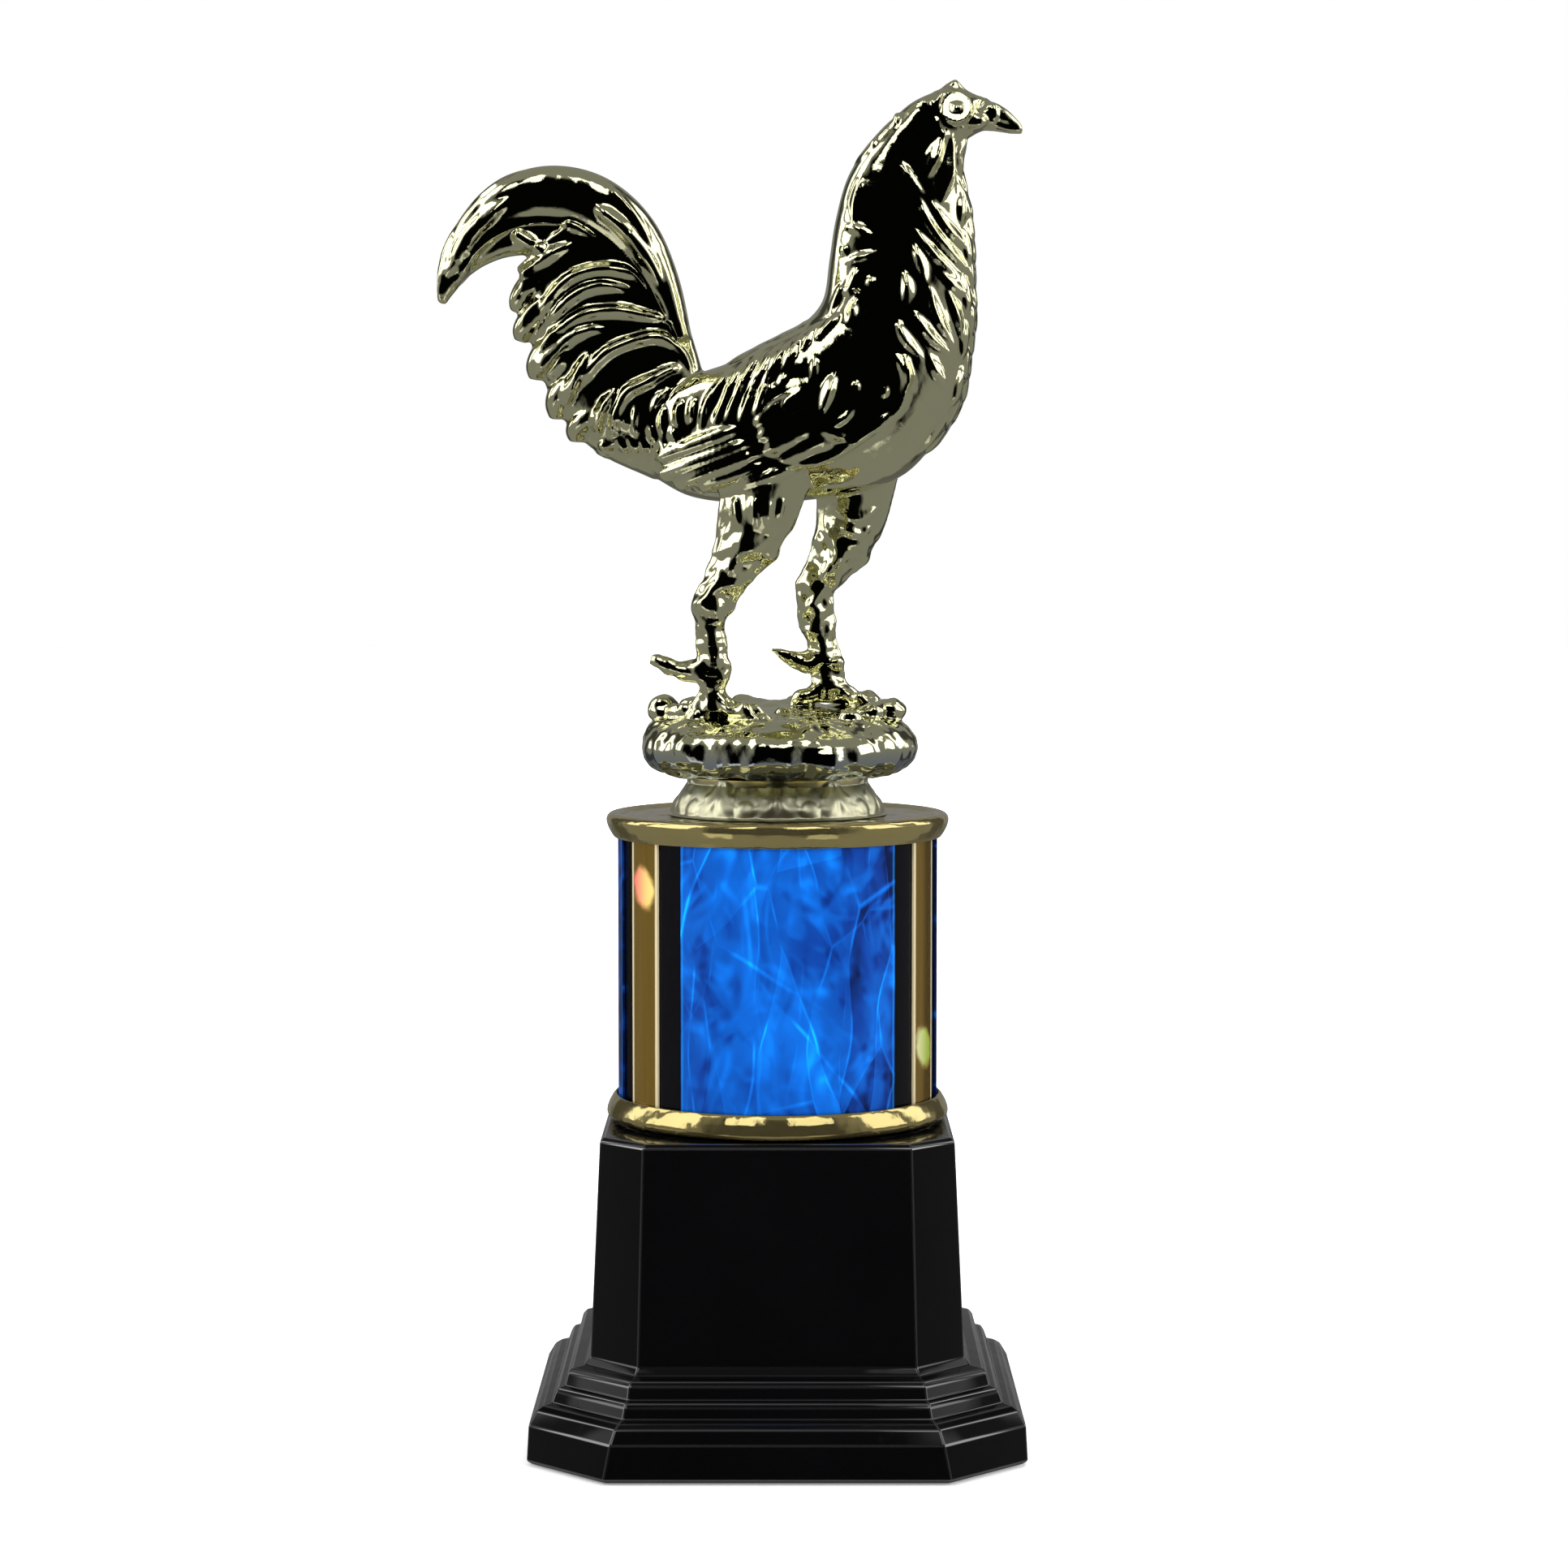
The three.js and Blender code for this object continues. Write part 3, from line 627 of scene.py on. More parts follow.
RIGHT_LEG = [
    (-8.6, 154, 7.5, 155, 5.3), (-9.2, 148.5, 4.6, 149.5, 5.5), (-9.8, 144, 2.6, 144.5, 5.0),
    (-10.4, 140.4, 0.4, 140.8, 4.3), (-11.6, 137.4, -3.6, 136.9, 3.4), (-12.9, 134.8, -5.6, 134, 2.8),
    (-13.8, 132.2, -6.6, 131.6, 2.7), (-13.4, 129.6, -8.1, 129.6, 2.1), (-12.8, 126.4, -8.2, 126.4, 1.9),
    (-12.6, 123, -7.5, 122.6, 2.2), (-12.3, 120.4, -8.2, 120, 1.9), (-12.9, 117.6, -8, 117.2, 2.2),
    (-13.0, 115.6, -7.6, 115.4, 2.4),
]
LEFT_LEG = [
    (5.5, 154, 20.2, 156, 5.3), (6.2, 148.6, 18.4, 148.6, 5.5), (5.8, 144, 17.0, 143.6, 4.9),
    (5.2, 140, 14.6, 139.4, 4.1), (3.8, 137.2, 11.4, 136.4, 3.3), (2.8, 134.6, 9.4, 134, 2.6),
    (2.7, 131.6, 9.1, 131.2, 2.4), (3.8, 128.6, 9.2, 128.4, 2.0), (4.8, 125.4, 10.0, 125, 2.0),
    (5.2, 122.4, 10.4, 121.8, 2.2), (5.5, 119.8, 10.6, 119.4, 2.1), (5.2, 116.8, 11.2, 116.6, 2.5),
]
LEG_SPREAD = 6.6
LEG_POWER = 1.4  # below 2 the legs have a keel down each side
RIGHT_ANKLE, RIGHT_SOLE = -10.4, 114.9
LEFT_ANKLE, LEFT_SOLE = 8.0, 116.2
TOES = [(6.4, 4.4), (8.4, 0.4), (6.6, -3.4), (-5.2, -1.5)]  # reach ahead of the ankle, spread outwards
KNUCKLES = [  # a toe's points: share of its reach, share of its spread, height over the sole, radius
    (0.1, 0.1, 2.8, 1.8), (0.4, 0.4, 1.5, 1.35), (0.6, 0.6, 0.95, 1.1), (0.8, 0.8, 0.9, 1.15), (1, 1, 0.2, 0.6),
    (1.12, 1.1, -0.4, 0.25),
]
SPUR = [  # how far behind the ankle and inwards, height over the sole, radius
    (0, 0, 7.2, 2.1), (3.2, 0.5, 6.9, 1.8), (6.4, 0.9, 7.7, 1.35), (9.3, 1.2, 8.9, 0.6),
]
ANKLE_RINGS = [(6.7, 2.35), (3.1, 2.2)]  # height over the sole, size
ANKLE_SHAPE = (1.08, 0.95, 0.62)

MOUND_LOW = 105.4
MOUND_R = 22
MOUND_DEPTH = 0.92  # its size along Y, as a share of that along X
MOUND_SLOPE = 0.085
MOUND_SIDES = 160
MOUND_TOP = 115.2
MOUND_TOP_R = 16.5
LEG_ROUGH = (114.5, 147)  # the heights between which the legs are uneven
MOUND_SIDE = [  # share of the radius, height
    (0.775, 0), (0.86, 0.35), (0.93, 1.2), (0.975, 2.6), (0.99, 4.2), (0.975, 6.0), (0.93, 7.6), (0.86, 8.8),
    (0.76, 9.6), (0.6, 9.9), (0.35, 10.0), (0.05, 10.0),
]
MOUND_FIRST_TOP = 7
STONES = [  # x, y, z, half width, half height
    (-18.0, -0.5, 115.5, 2.7, 2.0), (-15.2, -3.2, 115.4, 2.4, 1.7), (-12.4, -6.4, 114.7, 2.1, 1.4),
    (-13.6, 7, 115.6, 2.4, 1.8), (17.8, -0.5, 115.7, 2.8, 2.2), (14.6, -3.6, 115.4, 2.4, 1.7),
    (11.4, -7.2, 114.7, 1.9, 1.3), (14.4, 4.5, 116.2, 2.0, 1.6), (-2.4, -9.5, 114.3, 1.9, 1.3),
    (3.4, 13, 116.0, 2.2, 1.6), (-6, 14.5, 115.5, 2.0, 1.6), (1.4, -2.5, 115.1, 2.0, 1.0),
    (-4.8, 3.5, 115.4, 1.9, 1.0), (5.0, -9.8, 114.2, 1.5, 0.9),
]


def add_leg(clay, sections, side, ankle, sole):
    y = side * LEG_SPREAD
    clay.loft(sections, y=y, power=LEG_POWER, per_span=5, sides=32)
    clay.finger([(ankle - back, y - side * inward, sole + lift, r) for back, inward, lift, r in SPUR])
    for reach, spread in TOES:
        dy = side * spread
        clay.finger([(ankle + ahead * reach, y + out * dy, sole + lift, r) for ahead, out, lift, r in KNUCKLES])
    for lift, size in ANKLE_RINGS:
        clay.ball((ankle + 0.1, y, sole + lift), [size * share for share in ANKLE_SHAPE])


def add_mound(clay):
    angle = round_angles(MOUND_SIDES)
    rings = []
    for level, (share, height) in enumerate(MOUND_SIDE):
        lumps = 1 + 0.014 * np.sin(5 * angle + 0.5 * level) + 0.010 * np.sin(9 * angle - 0.6 * level)
        x = MOUND_R * share * lumps * np.cos(angle)
        y = MOUND_DEPTH * MOUND_R * share * lumps * np.sin(angle)
        top = np.clip((level - 4) / (MOUND_FIRST_TOP - 4), 0, 1)
        rise = top * (MOUND_SLOPE * y + 0.3 * share * np.sin(4 * angle + 1))
        rings.append(np.stack([x, y, MOUND_LOW + height + rise], axis=1))
    clay.rings(rings)
    for x, y, z, wide, tall in STONES:
        clay.ball((x, y, z), (wide, wide * 0.9, tall))


def rooster_clay():
    clay = Clay()
    clay.loft(TRUNK, power=(3.1, 2.15), sides=64)
    clay.loft(TAIL, sides=48)
    for feather in (SICKLE_TOP, *TAIL_FEATHERS):
        clay.blade(feather)
    clay.loft(HEAD)
    clay.loft(BEAK, sides=24)
    clay.loft(COMB, sides=20)
    for side in (-1, 1):
        clay.loft(np.array(WING) * (1, 1, 1, 1, 1, side), power=2.2, per_span=8)
        clay.ball((EYE[0], side * EYE_SIDE, EYE[1]), EYE_BULGE)
        clay.ball((CHEEK[0], side * EYE_SIDE, CHEEK[1]), CHEEK_BULGE)
    add_leg(clay, RIGHT_LEG, -1, RIGHT_ANKLE, RIGHT_SOLE)
    add_leg(clay, LEFT_LEG, 1, LEFT_ANKLE, LEFT_SOLE)
    add_mound(clay)
    return clay


# Relief: paths of x, z that are laid on the skin from either side.
TAIL_RIDGES = [
    [(-37, 178.5), (-34, 182), (-31, 184), (-27, 184.7), (-23, 184), (-21, 182), (-20, 180.5)],
    [(-36, 177), (-33, 180), (-30, 181.8), (-27, 182.3), (-23, 181.5)],
    [(-37, 173), (-34, 175.5), (-31, 177.5), (-28, 178.3), (-24, 178.3), (-20, 177.5), (-16, 177)],
    [(-38, 169), (-35, 172), (-32, 174.5), (-29, 175.5), (-26.5, 175.2)],
    [(-31, 167), (-29, 170), (-26, 172.5), (-22, 174), (-18.5, 174.3), (-15, 172), (-13.5, 169)],
    [(-26, 160), (-25, 163.5), (-23.5, 165.7), (-21, 167), (-18.5, 168.3), (-16, 169.5)],
    [(-36, 168), (-33, 172)], [(-33.5, 164), (-31, 169), (-29.5, 172)],
    [(-29, 160), (-27, 164), (-25.5, 166)], [(-28.5, 194.5), (-24, 191), (-20, 186), (-18, 182)],
    [(-41.5, 191), (-35.5, 187.3)], [(-40.5, 183.5), (-36, 187), (-32, 189)],
]
SICKLE_RIDGES = [
    [(-50.8, 182.6), (-47.6, 187.6), (-44, 190.5), (-40, 192.0), (-36, 192.4), (-32, 191.8), (-28.4, 189.8)],
]
SICKLE_GLEAMS = [[(-51.6, 184.6), (-49.4, 189.4), (-45.8, 193.4), (-41.6, 196.2)]]
SICKLE_FOLDS = [[(-52, 184), (-49.4, 189.6), (-46, 193.6)], [(-26, 197.6), (-22, 192.8), (-19, 187)]]
SADDLE = [
    [(-24.9, 166.3), (-27.3, 162.6), (-28.5, 158.7)], [(-29.8, 171.6), (-31.7, 167.6), (-33.6, 163.6)],
    [(-17.0, 166.2), (-19, 164.4), (-19.9, 162.2)], [(-21.9, 164.2), (-22.6, 161.4), (-22.4, 158.8)],
    [(-23.9, 162.4), (-24.1, 160)], [(-18.0, 163.8), (-18.4, 161.2), (-18.1, 159)],
    [(-14.9, 165.0), (-15.7, 162.6), (-15.4, 160)], [(-13.2, 164.6), (-13.5, 160.8)],
    [(-10.0, 166.6), (-11.5, 163.4), (-12.1, 160)], [(-7.5, 167), (-8.8, 163.6), (-10.1, 160.6)],
    [(-5.4, 168.5), (-6.6, 165), (-8, 161.5)], [(-3.5, 169), (-4.6, 165), (-6, 161)],
    [(-1.5, 169), (-2.6, 165), (-3.8, 161.6)], [(-19.9, 160.8), (-19.3, 157.6)],
    [(-16.9, 160), (-15.7, 157.6)], [(-25.2, 158.2), (-23.7, 156.1)], [(-23.5, 158.4), (-22.3, 156.2)],
    [(-21.6, 158), (-20.8, 156.2)], [(-18.6, 158), (-16.8, 155.4)], [(-26.2, 160.4), (-26.0, 158.8)],
    [(-28.2, 157.8), (-26.8, 156.8)],
]
SADDLE_EDGE = [[(-15.6, 169.4), (-19.8, 167.7), (-23.4, 165.4), (-25.4, 162.6)]]
FLIGHT = [
    [(-6, 159.6), (-10, 158.2), (-18.6, 155.2)], [(-4.4, 157.6), (-9, 156), (-17.8, 152.8)],
    [(-3, 155.8), (-8, 154), (-15.6, 151.2)], [(-1, 154.4), (-6, 152.6), (-12.6, 150.6)],
]
COVERTS = [
    [(4, 166), (-3.5, 160.6)], [(5, 163), (-2.8, 158.4)], [(6, 160.4), (-1.8, 156.2)],
    [(6.6, 158), (0, 154.4)],
]
WING_EDGE = [
    [
        (-13, 150.4), (-7, 150.8), (-2, 152.2), (3, 153.9), (8, 155.2), (11, 157), (15, 159.8), (19, 163),
        (20.2, 166), (20.4, 171),
    ],
]
FLAMES = [[(8.9, 168.6), (7.4, 165.6), (6.2, 161.2)], [(19.8, 171.4), (19.6, 167.4), (18.8, 163.2)]]
SHOULDER = [
    [(5.6, 170.9), (5.5, 168.6), (5.2, 166.4)], [(12.4, 163.8), (10, 161.2), (6.6, 159.4)],
    [(6.2, 160), (9, 158.8), (12.4, 157.6)], [(16.8, 166.6), (16, 164.8)], [(1.0, 168.2), (0.4, 166.2)],
    [(1.0, 164.4), (0.4, 162.4)], [(12.2, 167.2), (11.6, 165.4)], [(2.2, 154.4), (6, 155.2), (10, 156.6)],
]
BACK = [
    [(9.6, 177.6), (7.4, 175.6), (5.6, 173.2)], [(7.4, 176.8), (5.2, 174.6), (3.6, 171.6)],
    [(4.6, 175), (2.6, 172.4), (0.8, 168.6)], [(2.4, 173.6), (0, 170.6), (-1.8, 166.6)],
    [(0, 172.6), (-2, 169.6), (-3.6, 165.8)], [(-2.4, 171.6), (-4.4, 168.4), (-5.8, 164.6)],
    [(-4.8, 170.4), (-6.8, 167.2), (-8.2, 163.4)], [(-7.2, 169.2), (-9.4, 166), (-10.6, 162.4)],
    [(10.4, 182.6), (9.2, 179.6), (8.2, 177)], [(12.4, 180.6), (11.6, 177.4), (10.8, 175.6)],
]
HACKLE = [
    [(13.0, 199.4), (12.0, 195.4), (11.8, 190.8)], [(10.0, 191.4), (12.6, 190.4), (15.4, 188.4)],
    [(10.2, 185.8), (13, 186.6), (16.4, 187.4)], [(9.8, 188.4), (10.8, 186.8)],
    [(12.2, 185), (11.8, 183), (10.6, 181)], [(9.4, 181.4), (11.2, 181), (13.2, 180.2)],
    [(11.2, 178.8), (11.8, 176.8)], [(14.2, 183.2), (14.8, 181.4)],
    [(19.4, 201.6), (21, 198.5), (23.2, 196.2)], [(15.6, 206.4), (14.6, 203.6)], [(18.8, 209.2), (18, 206.6)],
    [(22.4, 211.2), (23, 209.6)],
]
THROAT = [
    [(26.0, 206.6), (24.4, 203.6), (22.6, 199.0)], [(27.4, 205.4), (26.6, 201.2), (25.6, 195.4)],
    [(29.3, 203.4), (29.2, 198), (28.8, 191.4)],
]
CAPE = [
    [(21.6, 196.6), (24, 191.6), (28, 186.6), (31, 183.8)], [(24.2, 195.4), (27, 191.2), (30.6, 187.6)],
    [(21.4, 191), (24.4, 187.4), (28.6, 183.2)], [(21.4, 188.6), (22.6, 185.6), (23.2, 182.2)],
    [(25, 184.6), (28.2, 181.8), (31.2, 180.2)], [(23.6, 182.2), (25, 177.4), (27.6, 172.4)],
    [(26.6, 181.6), (28.4, 177), (29, 172)], [(19.8, 184.4), (20.6, 181.4), (19.6, 177.8)],
    [(21.2, 178), (24, 174.2), (27, 171.4)], [(18.8, 176.4), (20.4, 173.4), (23, 170.4)],
    [(23.6, 171.4), (25, 169), (26.4, 166.8)], [(18.4, 171.4), (20.2, 168.6), (21.4, 165.6)],
]
NEAR_LEG = [
    [(-12.4, 131.6), (-10.4, 134.2), (-8.6, 137)], [(-3.6, 149), (-3.6, 145)], [(-1.4, 148.6), (-1.6, 144.6)],
    [(0.8, 149), (0.2, 145.6)], [(-6.6, 149), (-6.2, 145)],
]
FAR_LEG = [
    [(9.4, 147), (13, 146), (16.4, 148)], [(10.4, 144.6), (13, 143.4), (15.6, 145.2)],
    [(4.6, 131.4), (6.6, 134), (8.4, 136.6)], [(8.6, 150), (8.8, 145.4)],
]
SHANKS = [
    [(-10.6, 130), (-10.5, 126.5), (-10.1, 123), (-10.2, 119.8)],
    [(6.5, 129.4), (7.4, 125.6), (7.8, 122), (8.1, 119)],
]
FEATHERS = [  # kind, paths, width, height, and the shares of a path over which its tip and root taper
    ("ridge", TAIL_RIDGES, 1.25, 1.15, 0.35, 0.12), ("ridge", SICKLE_RIDGES, 1.15, 1.0, 0.15, 0.12),
    ("ridge", SICKLE_FOLDS, 0.9, 0.5, 0.35, 0.12), ("wedge_back", SICKLE_GLEAMS, 1.5, 1.6, 0.4, 0.3),
    ("wedge_back", SADDLE, 0.68, 1.05, 0.3, 0.4), ("ridge", SADDLE_EDGE, 0.8, 0.75, 0.3, 0.12),
    ("band", FLIGHT, 1.25, 1.25, 0.12, 0.2), ("band", COVERTS, 1.4, 0.55, 0.2, 0.5),
    ("ridge", WING_EDGE, 1.2, 0.7, 0.3, 0.12), ("wedge_back", FLAMES, 0.95, 1.5, 0.5, 0.4),
    ("wedge_back", SHOULDER, 0.62, 0.95, 0.5, 0.4), ("wedge_back", HACKLE, 0.7, 1.05, 0.5, 0.4),
    ("ridge", BACK, 0.9, 0.6, 0.4, 0.3), ("wedge_back", THROAT[:2], 1.3, 1.5, 0.4, 0.5),
    ("wedge_ahead", THROAT[2:], 1.2, 1.1, 0.4, 0.4), ("wedge_ahead", CAPE, 1.0, 1.15, 0.5, 0.35),
]
FACE = [  # kind, path, width, height, tip, root
    ("groove", [(33.2, 208.6), (35.2, 207.9), (37.6, 207.0)], 0.45, 0.4, 0.35, 0.3),
    ("ridge", [(33.6, 211.6), (34.2, 209.6), (33.6, 207.2)], 0.7, 0.4, 0.35, 0.12),
    ("groove", [(31.4, 210.9), (32.6, 210.2)], 1.5, 0.9, 0.5, 0.4),
    ("groove", [(34.6, 209.7), (35.4, 209.3)], 0.35, 0.3, 0.35, 0.12),
    ("ridge", [(25.0, 210.6), (25.8, 212.4), (27.6, 213.2)], 0.7, 0.35, 0.35, 0.12),
    ("band", [(29.6, 205.4), (29.0, 203.2), (28.2, 201.4)], 1.0, 0.5, 0.35, 0.12),
    ("ridge", [(24.6, 208.4), (25.6, 206.2), (27.6, 205.6)], 0.7, 0.4, 0.35, 0.12),
]
SIDES = ("right", "left")
JITTER_SEED = 11
JITTER = 0.12
SWAY = 0.2


def feather_strokes(skin, side, jitter):
    """The feathers of one side. Each path is shifted a little so that the two sides differ."""
    for kind, paths, *shape in FEATHERS:
        for path in paths:
            skin.stroke(kind, side, np.asarray(path) + jitter.normal(0, JITTER, 2), *shape)


def fan_strokes(skin, jitter):
    """Feathers down the breast, the back of the neck and the back, where the sides turn away."""

    def hanging(view, y, z, lift, drop, width, height):
        sway = jitter.normal(0, SWAY)
        path = [(y, z + lift), (y + sway, z), (y * 1.05 + sway, z - drop)]
        skin.stroke("band", view, path, width, height, tip=0.5, root=0.4)

    for row, z in enumerate(np.arange(203, 158, -3.6)):
        reach = 1.6 + 3.4 * np.clip((203 - z) / 24, 0, 1)
        for y in np.arange(-reach, reach + 0.1, 2.6) + (row % 2) * 1.3:
            hanging("front", y, z, 2.4, 3.6, 1.35, 0.85)
    for row, z in enumerate(np.arange(206, 178, -4.2)):
        for y in np.arange(-2.2, 2.3, 2.2) + (row % 2) * 1.1 - 0.55:
            hanging("back", y, z, 3, 4.2, 1.15, 0.3)
    for row, x in enumerate(np.arange(2, -8, -3.4)):
        for y in np.arange(-5.4, 5.5, 1.8) + (row % 2) * 0.9:
            skin.stroke("band", "top", [(x + 2.6, y), (x, y * 1.03), (x - 3.2, y * 1.05)], 0.95, 0.4, tip=0.5)


def leg_and_face_strokes(skin):
    for side, paths in (("right", NEAR_LEG + FAR_LEG), ("left", FAR_LEG)):
        for path in paths:
            skin.stroke("ridge", side, path, 0.8, 0.5)
    for side in SIDES:
        for path in SHANKS:
            for x, z in curve_through(path, 3):
                scale = [(x - 2.4, z + 0.25), (x, z - 0.35), (x + 2.4, z + 0.25)]
                skin.stroke("ridge", side, scale, 0.55, 0.3, tip=0.1)
        for kind, path, *shape in FACE:
            skin.stroke(kind, side, path, *shape)


EYE_OUT = 3.75  # how far the eyelids stand off the middle plane
EYEBALL_R = 0.95
EYEBALL_RISE = 0.6
EYELID_R = 2.7
HEAD_LOW = 200


def shape_eyes(skin):
    """A flat eyelid ring tilted up and a little back, with the eyeball in its middle."""
    x, y, z = skin.points.T
    dx, dz = x - EYE[0], z - EYE[1]
    away = np.hypot(dx, dz)
    lid = EYE_OUT + 0.20 * dx - 0.44 * dz
    ball = EYEBALL_RISE * np.sqrt(np.clip(1 - (away / EYEBALL_R) ** 2, 0, 1))
    share = np.clip((EYELID_R - away) / 0.3, 0, 1) * (np.abs(y) > 1.2) * (z > HEAD_LOW)
    y += share * (np.sign(y) * (lid + ball) - y)


def noise_at(points, scale=1.0):
    return np.array([noise.noise(Vector(point) * scale) for point in points])


def leg_relief(skin):
    """The legs' uneven surface."""
    z = skin.points[:, 2]
    rise = np.clip((z - LEG_ROUGH[0]) / 2, 0, 1) * np.clip((LEG_ROUGH[1] - z) / 5, 0, 1)
    near = rise > 0
    spots = skin.points[near]
    rise[near] *= 0.75 * noise_at(spots, 0.26) + 0.45 * noise_at(spots, 0.55)
    return rise


def mound_relief(skin):
    """Fluted sides with fine lumps, and a rough top."""
    on_mound = np.clip((MOUND_TOP - skin.points[:, 2]) / 1.5, 0, 1)
    near = on_mound > 0
    spots = skin.points[near]
    x, y, z = spots.T
    angle = np.arctan2(y / MOUND_DEPTH, x)
    radius = np.hypot(x, y / MOUND_DEPTH)
    on_mound = on_mound[near]
    side = on_mound * np.clip((z - MOUND_LOW - 0.3) / 1.2, 0, 1) * np.clip((radius - MOUND_TOP_R) / 3, 0, 1)
    flute = noise_at(np.column_stack([angle * 3.4, z * 0.13, np.full(len(z), 3.1)]))
    grain = noise_at(np.column_stack([angle * 9.0, z * 0.25, np.full(len(z), 7.7)]))
    rise = np.zeros(len(near))
    rise[near] = side * (1.1 * flute + 0.4 * grain) + on_mound * (1 - side) * 0.9 * noise_at(spots, 0.42)
    return np.clip(rise, -0.8, 0.35)


FIGURE_VOXEL = 0.32
SEAM = 0.03  # half the gap between the figure's halves
BOX_MARGIN = 0.02  # how far the figure stays inside the CAD box
FUSED_ROUNDS, RELIEF_ROUNDS = 10, 2  # of smoothing, after the clay is fused and after the relief is pressed


def build_figure(gilt):
    points, faces = fused(rooster_clay(), FIGURE_VOXEL)
    skin = Skin(smoothed(points, faces, FUSED_ROUNDS), faces)
    jitter = np.random.default_rng(JITTER_SEED)
    for side in SIDES:
        feather_strokes(skin, side, jitter)
    fan_strokes(skin, jitter)
    leg_and_face_strokes(skin)
    skin.press(mound_relief(skin) + leg_relief(skin))
    skin.points = smoothed(skin.points, faces, RELIEF_ROUNDS)
    shape_eyes(skin)
    low, high = np.array(cad_low) / MM, np.array(cad_high) / MM
    skin.points = np.clip(skin.points, low + BOX_MARGIN, high - BOX_MARGIN)
    for name, side in (("figure_right", -1), ("figure_left", 1)):
        add_piece(name, half_of(name, skin, side, SEAM), name + "_half", gilt)


# ---------------------------------------------------------------- turned and lofted pieces
def heights(node):
    """A CAD node's lowest and highest point in millimetres."""
    return [corner.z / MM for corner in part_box(node)]


def bend(before, corner, after, radius, steps, clear=2):
    """A short curve in a corner's place. It takes up at most 1 / clear of the way to each neighbour."""
    a, b = before - corner, after - corner
    reach = min(radius, np.linalg.norm(a) / clear, np.linalg.norm(b) / clear)
    start, end = corner + a / np.linalg.norm(a) * reach, corner + b / np.linalg.norm(b) * reach
    return [(1 - t) ** 2 * start + 2 * t * (1 - t) * corner + t**2 * end for t in np.linspace(0, 1, steps + 1)]


def rounded_path(points, radius, steps=4):
    """A path whose corners are turned into short curves. Points have any dimension."""
    p = np.asarray(points, float)
    bends = [spot for corner in zip(p[:-2], p[1:-1], p[2:]) for spot in bend(*corner, radius, steps)]
    return np.array([p[0], *bends, p[-1]])


def turned_rings(profile, sides):
    """Rings of a turned shape. A radius may be an array, with a value for each angle."""
    c, s = np.cos(round_angles(sides)), np.sin(round_angles(sides))
    return [np.stack([r * c, r * s, np.full(sides, z)], axis=1) for r, z in profile]


def corner_ring(half, cut, z, radius=0.3, steps=3):
    """A square with clipped corners, each of its eight edges rounded a little."""
    flat = half - cut
    corners = np.array([
        (flat, -half), (half, -flat), (half, flat), (flat, half),
        (-flat, half), (-half, flat), (-half, -flat), (-flat, -half),
    ])
    trios = zip(np.roll(corners, 1, axis=0), corners, np.roll(corners, -1, axis=0))
    ring = np.array([spot for trio in trios for spot in bend(*trio, radius, steps, clear=2.1)])
    return np.column_stack([ring, np.full(len(ring), z)])


# ---------------------------------------------------------------- base
BASE_LEVELS = [  # height, half width, corner cut
    (0.4, 38.0, 12.0), (0.9, 38.65, 12.3), (6.2, 38.4, 13.1), (8.3, 37.2, 12.6), (9.0, 36.2, 12.2),
    (9.35, 34.9, 11.4), (11.0, 34.3, 11.1), (11.6, 33.9, 10.8), (11.9, 32.9, 10.1), (13.8, 32.4, 9.8),
    (14.5, 31.8, 9.5), (14.9, 29.9, 8.1), (16.0, 29.0, 7.6), (49.6, 27.5, 6.9), (50.3, 26.8, 6.5),
    (50.3, 8.0, 3.0),
]
BASE_INSIDE = [
    (48.1, 8.0, 3.0), (48.1, 25.2, 6.0), (14.1, 26.8, 6.7), (14.0, 29.4, 9.0), (9.6, 30.2, 9.2),
    (9.5, 31.4, 9.6), (7.4, 32.2, 10.4), (7.2, 36.2, 12.2), (0.4, 36.5, 11.4),
]
ROD_HOLE_R = 3.5
PAD_CUT = 11.2
SHARP_TURN = 50  # an edge that turns by this many degrees or more catches the light fully
FACET_EDGE = 0.4  # how much the edges between the base's eight faces catch it
HOLLOW_EDGE = 0.25  # and its hollow edges


def edge_shares(points, steps=4):
    """How much each point of a rounded path lies on an edge: 1 on the crown of a sharp edge, 0 on the flats."""
    p = np.asarray(points, float)
    shares = [0.0]
    for before, corner, after in zip(p[:-2], p[1:-1], p[2:]):
        a, b = corner - before, after - corner
        turn = math.degrees(math.acos(np.clip(a @ b / np.linalg.norm(a) / np.linalg.norm(b), -1, 1)))
        outward = a[0] * b[1] < a[1] * b[0]
        crown = min(turn / SHARP_TURN, 1) * (1 if outward else HOLLOW_EDGE)
        shares.extend(np.sin(np.linspace(0, math.pi, steps + 1)) * crown)
    shares.append(0.0)
    return np.array(shares)


